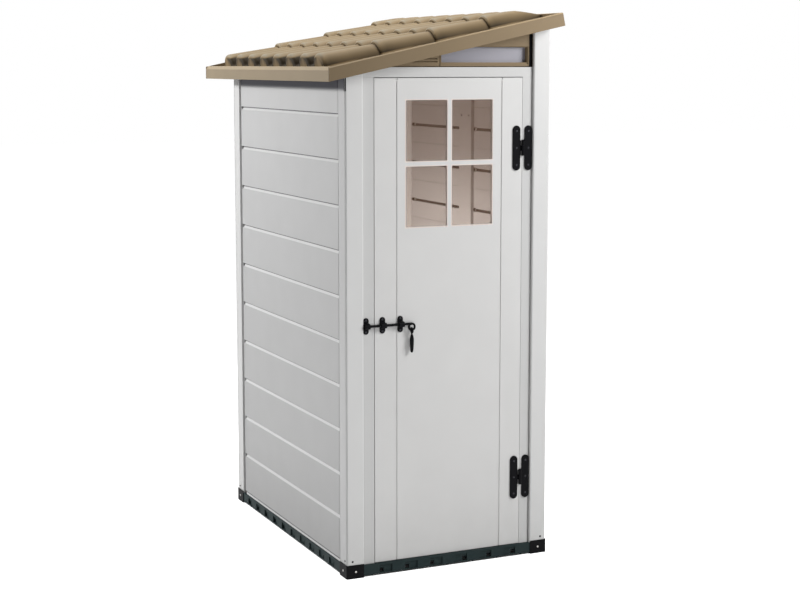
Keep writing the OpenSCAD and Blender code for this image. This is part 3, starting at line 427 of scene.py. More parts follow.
def slot_shade_mask(tree, over, along):
    """Painted shade in the slots half way between two joints and in their end holes, and a faint score at
    the joint.
    """
    middle = BOARD_HEIGHT / 2 - SLOT_HEIGHT / 2
    slot_half = SLOT_HEIGHT / 2 + SLOT_MARGIN
    hole_half = GROOVE_HEIGHT / 2 + HOLE_MARGIN
    slot = between(tree, over, middle - slot_half, middle + slot_half)
    slot = math_node(tree, "MULTIPLY", slot, SLOT_SHARE)
    hole = between(tree, over, middle - hole_half, middle + hole_half)
    at_end = math_node(tree, "ADD", *[between(tree, along, *ends) for ends in SLOT_HOLES])
    score = math_node(tree, "MULTIPLY", math_node(tree, "LESS_THAN", over, SCORE_HEIGHT), SCORE_SHARE)
    slot = math_node(tree, "MAXIMUM", slot, math_node(tree, "MULTIPLY", hole, at_end))
    return math_node(tree, "MAXIMUM", slot, score)


def board_lines_group():
    """Masks of painted shade and highlight for a wall of stacked boards.

    The height over the joint below is board * fract((z - first) / board). The gap's painted shade and the
    ledge's painted highlight lie outside; the deep mask holds painted shade in the slots in the room's
    walls and in the holes outside. The eave mask is the eave board's painted shadow on the strip under it,
    and the gloom mask is painted shade on the room's upper part, which the light from the door's window
    doesn't reach.
    """
    group, start, end = node_group("board_lines", {"Gap Height": GAP_HEIGHT}, LINE_TINTS)
    axes = place_axes(group)
    from_first = math_node(group, "SUBTRACT", axes["Z"], first_joint)
    share = math_node(group, "FRACT", math_node(group, "DIVIDE", from_first, BOARD_HEIGHT))
    over = math_node(group, "MULTIPLY", share, BOARD_HEIGHT)
    inside = in_box(group, axes, INSIDE)
    outside = math_node(group, "SUBTRACT", 1, inside)
    in_wall = math_node(group, "SUBTRACT", inside, in_box(group, axes, ROOM), clamp=True)

    groove, gap, ledge = joint_masks(group, over, axes["Z"], start["Gap Height"])
    slot = math_node(group, "MULTIPLY", slot_shade_mask(group, over, axes["Y"]), in_wall)
    hole = math_node(group, "MULTIPLY", groove, between(group, axes["Y"], *GROOVE_HOLE))
    # The eave board's shadow, painted on the top strip of the left wall.
    eave = map_range(group, axes["Z"], EAVE_SHADOW_HEIGHTS, smooth=True)
    # Painted shade on the room's upper part.
    gloom = map_range(group, axes["Z"], GLOOM_HEIGHTS, smooth=True)
    fill(group, end, {
        "Gap": math_node(group, "MULTIPLY", gap, outside),
        "Ledge Highlight": math_node(group, "MULTIPLY", ledge, outside),
        "Deep Shade": math_node(group, "MAXIMUM", slot, math_node(group, "MULTIPLY", hole, outside)),
        "Eave Shadow": math_node(group, "MULTIPLY", eave, math_node(group, "LESS_THAN", axes["X"], EAVE_SHADOW_SIDE)),
        "Gloom": math_node(group, "MULTIPLY", gloom, inside),
    })
    return group


BOARD_LINES = board_lines_group()
print("nodes in the board lines:", len(BOARD_LINES.nodes))


def draw_lines(tree, finish, masks, within=1):
    """Lays the painted shade and highlight tints of the chosen masks over a colour, one after the other,
    where within is 1.
    """
    lines = add(tree, "ShaderNodeGroup", node_tree=BOARD_LINES).outputs
    for mask in masks:
        strength, tint = LINE_TINTS[mask]
        share = math_node(tree, "MULTIPLY", lines[mask], strength)
        finish = mix_colour(tree, math_node(tree, "MULTIPLY", share, within), finish, tint)
    return finish


# %% [markdown]
# ## Plastics
# The plastics differ in colour and gloss, so one maker function writes them all: a colour that drifts a
# little, grey dust near the ground that also paints shade low on the walls, and a bump from the mould's
# grain. Some pieces have more to show, and each such layer is a function that takes the colour so far and
# hands it on: painted shade in the wall's tone on the left face of a post, the warm edge round the door's
# lights, painted light on the faces that look up, and a painted fade of light and shade from one end of
# the shed to the other.

# %% Colours
WALL_WHITE = (0.6, 0.6, 0.6)
POST_WHITE = (0.69, 0.69, 0.685)
# Painted shade: the recessed door frame is a darker copy of the posts' white.
FRAME_SHADE_WHITE = (0.6, 0.6, 0.595)
DOOR_WHITE = (0.685, 0.682, 0.675)
ROOF_TAN = (0.29, 0.21, 0.115)
# The pale end of the roof's ramp, for painted highlights.
ROOF_HIGHLIGHT = (0.36, 0.31, 0.23)
FASCIA_TAN = (0.25, 0.185, 0.11)
# Painted light: the eave board is a paler copy of the fascia's tan.
EAVE_LIT_TAN = (0.30, 0.238, 0.158)
BASE_GREEN = (0.009, 0.020, 0.021)
COAT_BLACK = (0.004, 0.004, 0.005)
DUST_AND_SHADE_GREY = (0.36, 0.35, 0.33)

# %% Painted shade on the side face of a post
LEFT_SHADE_SHARE = 0.9
# A face looks to the left where the X of its direction is under this.
FACES_LEFT = -0.5
# Black painted shade at the top of the post's left face, near its front, where deep shade falls under the
# eave.
POST_SHADE_FOOT, POST_SHADE_BACK = 1.676, -0.560
POST_TOP_SHADE = (0.01, 0.01, 0.012, 1)


def painted_left_shade(tree, finish):
    """Painted shade on the left face of a post: a darker copy of the wall's white, the eave board's
    painted shadow, and black painted shade at the top.
    """
    left = math_node(tree, "LESS_THAN", facing_axes(tree)["X"], FACES_LEFT)
    # Faces that look left take the wall's white, darkened, as painted shade.
    finish = mix_colour(tree, left, finish, opaque(WALL_WHITE, LEFT_SHADE_SHARE))
    finish = draw_lines(tree, finish, ("Eave Shadow",), within=left)
    axes = place_axes(tree)
    slot = math_node(tree, "MULTIPLY", math_node(tree, "GREATER_THAN", axes["Z"], POST_SHADE_FOOT),
                     math_node(tree, "LESS_THAN", axes["Y"], POST_SHADE_BACK))
    return mix_colour(tree, math_node(tree, "MULTIPLY", slot, left), finish, POST_TOP_SHADE)


# %% Edges round the door's lights
BAR_WIDTH, LIGHT_WIDTH, LIGHT_HEIGHT = 0.018, 0.157, 0.208
BEAD_WIDTH, BEAD_SHARE = 0.0035, 0.6
BEAD_TINT = (0.83, 0.72, 0.66, 1)
pane_low, pane_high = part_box("door_window_pane")
cross = (pane_low + pane_high) / 2


def warm_beads(tree, finish):
    """Warms the plastic close round each of the door's four lights.

    They lie evenly round a cross of bars. A place is in a light or its edge where
    abs(abs(place - cross) - light_middle) is under half the light and the bead, in X and in Z.
    """
    axes = place_axes(tree)
    near = []
    for axis, middle, size in (("X", cross.x, LIGHT_WIDTH), ("Z", cross.z, LIGHT_HEIGHT)):
        from_bar = math_node(tree, "ABSOLUTE", math_node(tree, "SUBTRACT", axes[axis], middle))
        light_middle = (BAR_WIDTH + size) / 2
        off = math_node(tree, "ABSOLUTE", math_node(tree, "SUBTRACT", from_bar, light_middle))
        near.append(math_node(tree, "LESS_THAN", off, size / 2 + BEAD_WIDTH))
    share = math_node(tree, "MULTIPLY", math_node(tree, "MULTIPLY", *near), BEAD_SHARE)
    return mix_colour(tree, share, finish, BEAD_TINT)


print("cross of the door's window at", round(cross.x, 4), round(cross.z, 4))

# %% Painted light on tops and painted fades of light and shade
# The upward part of a face's direction at which the painted light on tops begins, and at which it is full.
SKYWARD = (0.25, 0.45)
TOP_LIGHT_TIMES = 2


def painted_top_light(tree, finish, colour, strength):
    """Paints light on the faces that look up to the sky, making them paler."""
    share = map_range(tree, facing_axes(tree)["Z"], SKYWARD, (0, strength))
    return mix_colour(tree, share, finish, opaque(colour, TOP_LIGHT_TIMES))


def painted_light_fade(tree, finish, axis, shares):
    """Paints light and shade: scales the colour by a share that changes evenly from the shed's low end to
    its high end.
    """
    number = "XYZ".index(axis)
    share = map_range(tree, place_axes(tree)[axis], (cad_low[number], cad_high[number]), shares)
    return add(tree, "ShaderNodeVectorMath", {0: finish, "Scale": share}, operation="SCALE").outputs[0]


# %% Moulded plastic
EDGE_RADIUS = 0.0012
MOULD_WAVES = 0.4
MOULD_BUMP = {"Strength": 0.2, "Distance": 0.0005}


def shiny_material(name):
    """A material with one Principled shader."""
    material, tree = empty_material(name)
    shader = add(tree, "ShaderNodeBsdfPrincipled")
    add(tree, "ShaderNodeOutputMaterial", {"Surface": shader.outputs[0]})
    return material, tree, shader


def bump(tree, height, strengths, edge=0):
    """A bump from a height, over edges that are rounded by the given radius."""
    made = add(tree, "ShaderNodeBump", {"Height": height, **strengths})
    if edge:
        rounded = add(tree, "ShaderNodeBevel", {"Radius": edge}, samples=4)
        fill(tree, made, {"Normal": rounded.outputs[0]})
    return made.outputs[0]


def moulded_plastic(name, colour, shade=0.06, roughness=0.5, dust_and_shade=0.25, gloss=0.3, boards=(),
                    left_shade=False, bead=False, top_light=0, fade=None):
    """Plastic whose colour drifts by shade, with a grained bump and softened edges.

    boards names the masks of painted shade and highlight to draw; left_shade turns on the painted shade of
    a post's left face and bead the warm edge round the lights; bleach is the strength of the painted light
    on the tops; fade names an axis and the colour's shares at its two ends, a painted fade of light and
    shade.
    """
    material, tree, shader = shiny_material(name)
    pattern = add(tree, "ShaderNodeGroup", node_tree=MOULD_GRAIN)
    fill(tree, pattern, {"Waves": MOULD_WAVES})
    dust_and_shade_mask = add(tree, "ShaderNodeGroup", node_tree=LOW_DUST_AND_SHADE)
    fill(tree, dust_and_shade_mask, {"Amount": dust_and_shade})
    dark, light = opaque(colour, 1 - shade), opaque(colour, 1 + shade)
    finish = mix_colour(tree, pattern.outputs["Shade"], dark, light)
    # Grey dust near the ground, which also paints shade low on the walls.
    finish = mix_colour(tree, dust_and_shade_mask.outputs["Mask"], finish, opaque(DUST_AND_SHADE_GREY))
    if boards:
        finish = draw_lines(tree, finish, boards)
    if left_shade:
        finish = painted_left_shade(tree, finish)
    if bead:
        finish = warm_beads(tree, finish)
    if top_light:
        finish = painted_top_light(tree, finish, colour, top_light)
    if fade:
        finish = painted_light_fade(tree, finish, *fade)
    relief = bump(tree, pattern.outputs["Height"], MOULD_BUMP, EDGE_RADIUS)
    fill(tree, shader, {"Base Color": finish, "Roughness": roughness, "Specular IOR Level": gloss,
                        "Normal": relief})
    return material


# %% Plastics of the shed
# The walls' fade is painted shade, darker towards the bottom.
WALL = {"colour": WALL_WHITE, "shade": 0.03, "roughness": 0.42, "gloss": 0.1, "fade": ("Z", (0.8, 1.0))}
POST = {"colour": POST_WHITE, "shade": 0.02, "roughness": 0.4}
TRIM = {"colour": FASCIA_TAN, "dust_and_shade": 0, "gloss": 0.15}
PLASTICS = {
    "wall_plastic": WALL | {"boards": tuple(LINE_TINTS)},
    # The battens take only the room's painted shade.
    "batten_plastic": WALL | {"boards": ("Gloom",)},
    "post_plastic": POST,
    "left_post_plastic": POST | {"left_shade": True},
    # The door frame: the posts' plastic with painted shade.
    "frame_plastic": POST | {"colour": FRAME_SHADE_WHITE},
    "door_plastic": {"colour": DOOR_WHITE, "shade": 0.03, "roughness": 0.42, "bead": True},
    "gable_plastic": TRIM,
    # The fascia's fade is painted light, brighter towards the high end, and its tops are painted lighter.
    "fascia_plastic": TRIM | {"top_light": 0.6, "fade": ("X", (0.78, 1.12))},
    # The eave board: a lit copy of the fascia's plastic.
    "eave_lit_plastic": TRIM | {"top_light": 0.6, "colour": EAVE_LIT_TAN},
    "floor_plastic": {"colour": BASE_GREEN, "shade": 0.15, "roughness": 0.65, "dust_and_shade": 0.03,
                      "gloss": 0.15},
    "foot_plastic": {"colour": COAT_BLACK, "shade": 0.1, "dust_and_shade": 0.01, "gloss": 0.05},
}
finishes = {name: moulded_plastic(name, **values) for name, values in PLASTICS.items()}
print("plastics:", len(finishes))

# %% [markdown]
# ## Roof tile plastic
# The tiles are tan, with painted shade nearly black where a step or a hollow shades them, and painted
# highlights, pale, on the noses' edges and the crowns. These tones follow the shape and not the height
# above the ground, so the roof's surface carries a number at each point, named tone, and a colour ramp
# turns it into tan.

# %% Roof tile plastic
# The ramp runs from painted shade, at SHADED_TIMES the tan, through the plain tan to the painted
# highlight.
SHADED_TIMES = 0.14
PLAIN_TONE = 0.5
TILE_BUMP = {"Strength": 0.25, "Distance": 0.0006}
TILE_GRAIN = {"Grain Size": 0.0016, "Grain": 0.8, "Waves": 0.6, "Wave Size": 0.09}
TILE_DRIFT = (0.88, 1.1)


def tile_plastic(name):
    """Tan plastic with painted shade in its hollows and steps and painted highlights on its edges and
    crowns.
    """
    material, tree, shader = shiny_material(name)
    tone = add(tree, "ShaderNodeAttribute", attribute_name="tone").outputs["Fac"]
    ramp = add(tree, "ShaderNodeValToRGB", {"Fac": tone})
    ramp.color_ramp.elements[0].color = opaque(ROOF_TAN, SHADED_TIMES)
    ramp.color_ramp.elements[1].color = opaque(ROOF_HIGHLIGHT)
    ramp.color_ramp.elements.new(PLAIN_TONE).color = opaque(ROOF_TAN)
    pattern = add(tree, "ShaderNodeGroup", node_tree=MOULD_GRAIN)
    fill(tree, pattern, TILE_GRAIN)
    low, high = [(share, share, share, 1) for share in TILE_DRIFT]
    drift = mix_colour(tree, pattern.outputs["Shade"], low, high)
    finish = mix_colour(tree, 1, ramp.outputs["Color"], drift, blend="MULTIPLY")
    relief = bump(tree, pattern.outputs["Height"], TILE_BUMP)
    fill(tree, shader, {"Base Color": finish, "Roughness": 0.6, "Specular IOR Level": 0.12,
                        "Normal": relief})
    return material


finishes["roof_plastic"] = tile_plastic("tile_plastic")
print("tones of the tiles:", ROOF_TAN, "to", ROOF_HIGHLIGHT)

# %% [markdown]
# ## Metal and clear sheets
# The hinges and the bolt have a black powder coat, the screws are plated, the door's window is a thin
# clear sheet and the gable's a milky one. Even a plain coat isn't equally glossy all over, so a noise
# spreads the roughness between two values. A real clear sheet bends the light twice and needs many
# samples; this one is so thin that a little opacity with a brown tint shows the same.

# %% Metal and clear sheets
# How fine each noise is, in patches per metre, and the roughness that it spreads.
COAT_PEEL, SCREW_HAZE, SHEET_SMEARS, MILK_CLOUDS = 900, 400, 18, 5
COAT_ROUGHNESS, SCREW_ROUGHNESS, SHEET_ROUGHNESS = (0.34, 0.5), (0.25, 0.45), (0.04, 0.16)
COAT_BUMP = {"Strength": 0.15, "Distance": 0.0003}
SCREW_GREY, DARK_GREY = (0.42, 0.41, 0.39), (0.04, 0.04, 0.045)
SHEET_BROWN = (0.25, 0.15, 0.10)
MILK_DARK, MILK_LIGHT = (0.26, 0.26, 0.31), (0.36, 0.35, 0.39)


def black_coat(name):
    """Black powder coat on the hinges and the bolt: a fine orange peel and a soft shine."""
    material, tree, shader = shiny_material(name)
    peel = noise(tree, COAT_PEEL)
    fill(tree, shader, {"Base Color": opaque(COAT_BLACK), "Specular IOR Level": 0.05,
                        "Roughness": map_range(tree, peel, result=COAT_ROUGHNESS),
                        "Normal": bump(tree, peel, COAT_BUMP, EDGE_RADIUS)})
    return material


def screw_metal(name, colour):
    """Plated screws with a hazy shine."""
    material, tree, shader = shiny_material(name)
    haze = map_range(tree, noise(tree, SCREW_HAZE), result=SCREW_ROUGHNESS)
    fill(tree, shader, {"Base Color": opaque(colour), "Metallic": 1, "Roughness": haze})
    return material


def clear_sheet(name):
    """The door's clear plastic: a thin brown tint that most light passes, with faint smears."""
    material, tree, shader = shiny_material(name)
    smears = map_range(tree, noise(tree, SHEET_SMEARS), result=SHEET_ROUGHNESS)
    fill(tree, shader, {"Base Color": opaque(SHEET_BROWN), "Alpha": 0.22, "IOR": 1.3,
                        "Roughness": smears})
    return material


def milky_sheet(name):
    """The gable's milky sheet: pale, slightly violet grey that drifts a little."""
    material, tree, shader = shiny_material(name)
    clouds = mix_colour(tree, noise(tree, MILK_CLOUDS), opaque(MILK_DARK), opaque(MILK_LIGHT))
    fill(tree, shader, {"Base Color": clouds, "Roughness": 0.25})
    return material


finishes |= {
    "black_metal": black_coat("black_metal"),
    "screw_steel": screw_metal("screw_steel", SCREW_GREY),
    "dark_steel": screw_metal("dark_steel", DARK_GREY),
    "clear_sheet": clear_sheet("clear_sheet"),
    "milky_sheet": milky_sheet("milky_sheet"),
}
print("finishes:", ", ".join(finishes))

# %% [markdown]
# ## Finishes on the imported pieces
# The imported model names a slot for each piece, and most slots have one finish. A few pieces look
# different from the rest of their slot: the door frame is a little greyer than the posts, as painted
# shade, the front left post has painted shade in the wall's tone on its left face, the eave board has
# painted light, and the small screws are darker than those of the feet.

# %% Finishes on the imported pieces
OWN_FINISHES = {
    "left_wall_batten": "batten_plastic", "right_wall_batten": "batten_plastic",
    "left_jamb": "frame_plastic", "right_jamb": "frame_plastic", "lintel": "frame_plastic",
    "front_left_post": "left_post_plastic", "eave_fascia": "eave_lit_plastic",
    "post_screws": "black_metal", "frame_hinge_screws": "dark_steel",
    "door_hinge_screws": "dark_steel", "guide_screws": "dark_steel", "keeper_screws": "dark_steel",
}
slots = {part["node"]: part["material_slot"] for part in frame["record"]["subparts"]}
for node, slot in slots.items():
    piece = nodes[node]
    piece.data.materials.clear()
    piece.data.materials.append(finishes[OWN_FINISHES.get(node, slot)])
print("finished pieces:", len(slots))

# %% [markdown]
# ## Roof tiles
# The roof is one moulding that looks like rows of half round tiles. Each row starts higher than the row
# below it ends, its barrels have a blunt round nose, and soft hollows run between them. The solid model
# has these forms with sharp edges, as if they were cut. Moulded plastic has no sharp edge, so a smooth
# surface takes the solid's place. A height map can't draw it, because the barrels' flanks stand nearly
# upright. So one section, drawn once with its arcs, is carried up the slope while its radius and its
# height change.

# %% Measures of the roof, in metres
ROOF_SLOPE = math.radians(12.1)
EAVE_MARGIN, SIDE_MARGIN = 0.036, 0.0091
ROW_COUNT, ROW_LIFT, ROW_STEP = 4, 0.0015, 0.007
BARREL_COUNT, BARREL_PITCH = 8, 0.135
BARREL_RADIUS, BARREL_SINK, BARREL_TAPER = 0.051, 0.008, 0.005
INNER_FOOT, OUTER_FOOT = 0.010, 0.005
# How far up the slope the tiles end, and how high the slope's line passes over the boards' low corner.
FIELD_END = 0.8838
CORNER_HEIGHT = 1.74333
TILE_SKIN = 0.0025

board_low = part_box("front_barge_board")[0]
back_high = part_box("back_barge_board")[1]
slope_cos, slope_sin = math.cos(ROOF_SLOPE), math.sin(ROOF_SLOPE)
roof_depth = back_high.y - board_low.y
first_crown = (roof_depth - (BARREL_COUNT - 1) * BARREL_PITCH) / 2
row_length = (FIELD_END - EAVE_MARGIN) / ROW_COUNT
roof_corner = np.array([board_low.x, board_low.y, CORNER_HEIGHT])
print("one row is", round(row_length * 1000, 1), "mm long; the eave is", round(roof_depth, 3), "m long")

# %% Section of a barrel
ARC_STEPS, FOOT_STEPS = 20, 5


def half_barrel(radius, floor, foot):
    """Half a barrel's section from its crown to its foot, as sides and heights, one row per ring.

    The crown is an arc of the given radius, whose middle lies BARREL_SINK under the plate. A small arc
    of radius foot rests on the floor and touches the crown: its middle is at the height floor + foot,
    and at the side sqrt((radius + foot)^2 - (floor + foot + sink)^2). The arcs meet on the line between
    their middles.
    """
    radius, floor = radius[:, None], floor[:, None]
    drop = floor + foot + BARREL_SINK
    side = np.sqrt((radius + foot) ** 2 - drop ** 2)
    touch = np.arctan2(side, drop)
    crown = touch * np.linspace(0, 1, ARC_STEPS)
    turn = -math.pi + touch * np.linspace(1, 0, FOOT_STEPS + 1)[1:]
    sides = np.concatenate([radius * np.sin(crown), side + foot * np.sin(turn)], axis=1)
    heights = np.concatenate(
        [radius * np.cos(crown) - BARREL_SINK, floor + foot + foot * np.cos(turn)], axis=1)
    return sides, heights


def roof_section(radius, plate):
    """The whole roof's section, front to back: places along the eave and heights over the plate.

    Inner halves stand on the plate. The two outer halves come down past it to the margin, at -plate.
    """
    inner = half_barrel(radius, np.zeros_like(radius), INNER_FOOT)
    outer = half_barrel(radius, -plate, OUTER_FOOT)
    column = np.ones((len(radius), 1))
    places, heights = [SIDE_MARGIN * column], [-plate[:, None]]
    for number in range(BARREL_COUNT):
        middle = first_crown + number * BARREL_PITCH
        left = outer if number == 0 else inner
        right = outer if number == BARREL_COUNT - 1 else inner
        places += [middle - left[0][:, ::-1], middle + right[0][:, 1:]]
        heights += [left[1][:, ::-1], right[1][:, 1:]]
        if number < BARREL_COUNT - 1:
            places.append((middle + BARREL_PITCH / 2) * column)
            heights.append(0 * column)
    places.append((roof_depth - SIDE_MARGIN) * column)
    heights.append(-plate[:, None])
    return np.concatenate(places, axis=1), np.concatenate(heights, axis=1)


trial = roof_section(np.array([BARREL_RADIUS]), np.array([ROW_STEP]))
print("points across the roof:", trial[0].shape[1])

# %% Rings up the slope
NOSE_RINGS = 7
FIRST_NOSE, INNER_NOSE = 0.014, 0.008
RING_PLACES = (0.03, 0.06, 0.1, 0.133, 0.15, 0.165, 0.18, 0.195)
LAST_RING_GAP = 0.006
# Tone is 0 for painted shade under a step, PLAIN_TONE on plain plastic and 1 for a painted highlight on an
# edge.
UNDER_STEP_SHADE, UPPER_END_SHADE = 0.15, 0.12
# Painted highlight round the nose, at angles in degrees.
NOSE_ANGLES, NOSE_HIGHLIGHT_TONES = (20, 60, 90), (0.6, 0.95, 0.65)
# Painted shade in the hollows: how strongly it holds at places up from a row's start.
GLOOM_PLACES, GLOOM_SHARES = (0, 0.03, 0.08), (1.0, 1.0, 0.75)


def row_rings(row):
    """One row's rings: places up the slope, radius, plate height, tone of painted light and shade, and
    gloom, the painted shade of the hollows.

    The nose is a quarter circle: at the angle a the radius is full - nose * (1 - sin a), and the ring
    lies nose * (1 - cos a) up the slope. Then the radius shrinks evenly and the plate sinks evenly.
    """
    nose = FIRST_NOSE if row == 0 else INNER_NOSE
    turn = np.radians(np.linspace(0, 90, NOSE_RINGS))
    near = nose * (1 - np.cos(turn))
    up = np.concatenate([near, RING_PLACES, [row_length - LAST_RING_GAP, row_length]])
    share = up / row_length
    radius = BARREL_RADIUS - BARREL_TAPER * share
    radius[:NOSE_RINGS] -= nose * (1 - np.sin(turn))
    tone = np.full(len(up), PLAIN_TONE)
    foot_tone = PLAIN_TONE if row == 0 else UNDER_STEP_SHADE
    tone[:NOSE_RINGS] = np.interp(np.degrees(turn), (0,) + NOSE_ANGLES, (foot_tone,) + NOSE_HIGHLIGHT_TONES)
    tone[-1] = UPPER_END_SHADE
    gloom = np.interp(up, GLOOM_PLACES, GLOOM_SHARES)
    start = EAVE_MARGIN + row * row_length
    return start + up, radius, ROW_LIFT + ROW_STEP * (1 - share), tone, gloom


rows = [np.concatenate(parts) for parts in zip(*[row_rings(row) for row in range(ROW_COUNT)])]
up_slope, ring_radius, ring_plate, ring_tone, ring_gloom = rows
print("rings up the slope:", len(up_slope))

# %% [markdown]
# ### Tails and tones
# The barrels of the last row end in sloping tails: the roof there has the lower of two heights, the
# barrel's and the slope's. A hard minimum would leave a crease, so the two are blended where they meet.
# The tones of painted shade and highlight could be painted by hand, but each one follows the shape, such
# as the height over the plate or the distance from a step, so they are worked out from the same arrays.

# %% Heights of the roof
TAIL_LENGTH, TAIL_END, TAIL_SOFTNESS = 0.078, 0.010, 0.006
LAST_ROW_SHARE = 0.9


def soft_minimum(a, b, width):
    """The lower of two heights, with the corner between them rounded over the given width."""
    share = np.clip(0.5 + (b - a) / (2 * width), 0, 1)
    return b + (a - b) * share - width * share * (1 - share)


along, over = roof_section(ring_radius, ring_plate)
tail_slope = (BARREL_RADIUS - BARREL_TAPER - BARREL_SINK - TAIL_END) / TAIL_LENGTH
tail_height = TAIL_END + (FIELD_END - up_slope) * tail_slope
in_last_row = up_slope > FIELD_END - row_length * LAST_ROW_SHARE
cut_down = soft_minimum(over, tail_height[:, None], TAIL_SOFTNESS)
over = np.where(in_last_row[:, None], cut_down, over)
print("highest point over the plate, in mm:", round(over.max() * 1000, 1))

# %% Painted light and shade on the roof
# As shares of a barrel's height: where the painted shade of a hollow ends, where the painted shade in the
# gaps between the first noses ends and how softly, and where the painted light on the crown begins.
HOLLOW_TOP, FRONT_GAP_TOP, FRONT_GAP_SOFTNESS, CROWN_FOOT = 0.9, 0.78, 0.16, 0.75
# Painted light: how much paler the crowns are.
CROWN_LIGHT = 0.25
FRONT_DEPTH = 0.035
PLATE_EDGE = -0.0005

# Crest is the share of a barrel's height: 0 on the plate and 1 on a crown.
crest = np.clip(over / (BARREL_RADIUS - BARREL_SINK), 0, 1)
hollow = np.clip(1 - crest / HOLLOW_TOP, 0, 1)
between_crowns = (along > first_crown) & (along < roof_depth - first_crown)
in_front = (up_slope < EAVE_MARGIN + FRONT_DEPTH)[:, None] & between_crowns
hollow = np.where(in_front, np.clip((FRONT_GAP_TOP - crest) / FRONT_GAP_SOFTNESS, 0, 1), hollow)
shaded = ring_tone[:, None] * (1 - ring_gloom[:, None] * hollow)
tone = np.where(over > PLATE_EDGE, shaded, PLAIN_TONE)
tone = tone + CROWN_LIGHT * np.clip((crest - CROWN_FOOT) / (1 - CROWN_FOOT), 0, 1)
print("tones from", round(tone.min(), 2), "to", round(tone.max(), 2))

# %% [markdown]
# ### Surface of the roof
# The rings and the section make a grid of points, and each cell of the grid is one face. The grid has no
# thickness, and a roof without any would show its inner side at the edges, so a modifier gives it one.

# %% Roof surface
# The flat strip at the eave: where it starts, and how far before the noses painted shade makes it darker.
FLAT_START, FLAT_END, FLAT_SHADE = 0.0094, 0.004, 0.3
# Below this share of a barrel's height the foot of the first noses has painted shade.
FACE_CREST = 0.25
END_MARGIN = 0.0036
SHARP_ANGLE = math.radians(50)


def surface_mesh(name, points, attributes):
    """A mesh from a grid of points, with one number per point under each attribute's name."""
    count_u, count_v = points.shape[:2]
    index = np.arange(count_u * count_v).reshape(count_u, count_v)
    quads = np.stack([index[:-1, :-1], index[1:, :-1], index[1:, 1:], index[:-1, 1:]], axis=-1)
    quads = quads.reshape(-1, 4)
    mesh = bpy.data.meshes.new(name)
    mesh.from_pydata(points.reshape(-1, 3).tolist(), [], quads.tolist())
    for title, values in attributes.items():
        layer = mesh.attributes.new(title, "FLOAT", "POINT")
        layer.data.foreach_set("value", values.reshape(-1).astype(np.float32))
    mesh.polygons.foreach_set("use_smooth", np.ones(len(quads), bool))
    mesh.set_sharp_from_angle(angle=SHARP_ANGLE)
    return put_in_scene(name, mesh)


# The flat margins below the first row and above the last one close the surface.
flat_up = [FLAT_START, EAVE_MARGIN - FLAT_END, EAVE_MARGIN]
up = np.concatenate([flat_up, up_slope, [FIELD_END, FIELD_END + END_MARGIN]])
height = over + ring_plate[:, None]
along = np.concatenate([along[[0, 0, 0]], along, along[[-1, -1]]])
height = np.concatenate([0 * along[:3], height, 0 * along[:2]])
up = up[:, None] + 0 * along
line = 0 * along[:1]
face_foot = np.where(crest[:1] > FACE_CREST, PLAIN_TONE, 0)
plain = line + PLAIN_TONE
tone = np.concatenate([plain, line + FLAT_SHADE, face_foot, tone, plain, plain])

roof_points = np.stack([
    roof_corner[0] + up * slope_cos - height * slope_sin,
    roof_corner[1] + along,
    roof_corner[2] + up * slope_sin + height * slope_cos,
], axis=-1)
roof_tiles = surface_mesh("smooth_roof_tiles", roof_points, {"tone": tone})
skin = roof_tiles.modifiers.new("skin", "SOLIDIFY")
skin.thickness = TILE_SKIN
skin.offset = -1
roof_tiles.data.materials.append(finishes["roof_plastic"])
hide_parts("roof_tile_moulding")
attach(roof_tiles, "shed")
print("roof surface faces:", len(roof_tiles.data.polygons))

# %% [markdown]
# ## Painted shade beside the gable window
# A black strip fills the slot between the gable and the right hand post as painted shade, where the slot
# lies in deep shadow. It could be a box, but it has a rounded face, so half an ellipse is drawn once and
# carried up to the slope of the roof.

# %% Gable shade strip
STRIP_WIDTH, STRIP_PROUD = 0.011, 0.0025
STRIP_STEPS = 12


def gable_shade_strip(left, right, face, foot, head):
    """A strip with a half elliptic face: side = middle + half * cos(a), depth = face - proud * sin(a).

    It runs from the height foot up to the slope of the roof, which is at the height head on the strip's
    left. Quads cover the round face, and one face each closes the back and the two ends.
    """
    turn = np.linspace(0, math.pi, STRIP_STEPS)
    side = (left + right) / 2 + (right - left) / 2 * np.cos(turn)
    depth = face - STRIP_PROUD * np.sin(turn)
    top = head + (side - left) * math.tan(ROOF_SLOPE)
    points = np.concatenate([np.stack([side, depth, foot + 0 * side], axis=1),
                             np.stack([side, depth, top], axis=1)])
    index = np.arange(STRIP_STEPS - 1)
    quads = np.stack([index, index + STRIP_STEPS, index + STRIP_STEPS + 1, index + 1], axis=1).tolist()
    low, high = list(range(STRIP_STEPS)), list(range(STRIP_STEPS, 2 * STRIP_STEPS))
    back = [low[-1], high[-1], high[0], low[0]]
    mesh = bpy.data.meshes.new("gable_shade_strip")
    mesh.from_pydata(points.tolist(), [], quads + [back, low, high[::-1]])
    return put_in_scene("gable_shade_strip", mesh)


post_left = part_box("front_right_post")[0].x
gable_low, gable_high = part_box("gable_window_frame")
strip_left = post_left - STRIP_WIDTH
roof_under = gable_high.z - (gable_high.x - strip_left) * math.tan(ROOF_SLOPE)
# A black strip as painted shade in the slot beside the gable.
shade_strip = gable_shade_strip(strip_left, post_left, gable_low.y, gable_low.z, roof_under)
shade_strip.data.materials.append(finishes["foot_plastic"])
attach(shade_strip, "shed")
print("seal from", round(gable_low.z, 3), "to", round(roof_under, 3))

# %% [markdown]
# ## Screws
# The solid model's screws are plain pins. A real one has a domed head with a cross recess, and each is
# turned to its own angle. A cross can't come from a lathe alone, so a turned profile is written as rings
# of points, and the rings near the middle sink where the cross lies. The places come from the packed
# pins themselves.

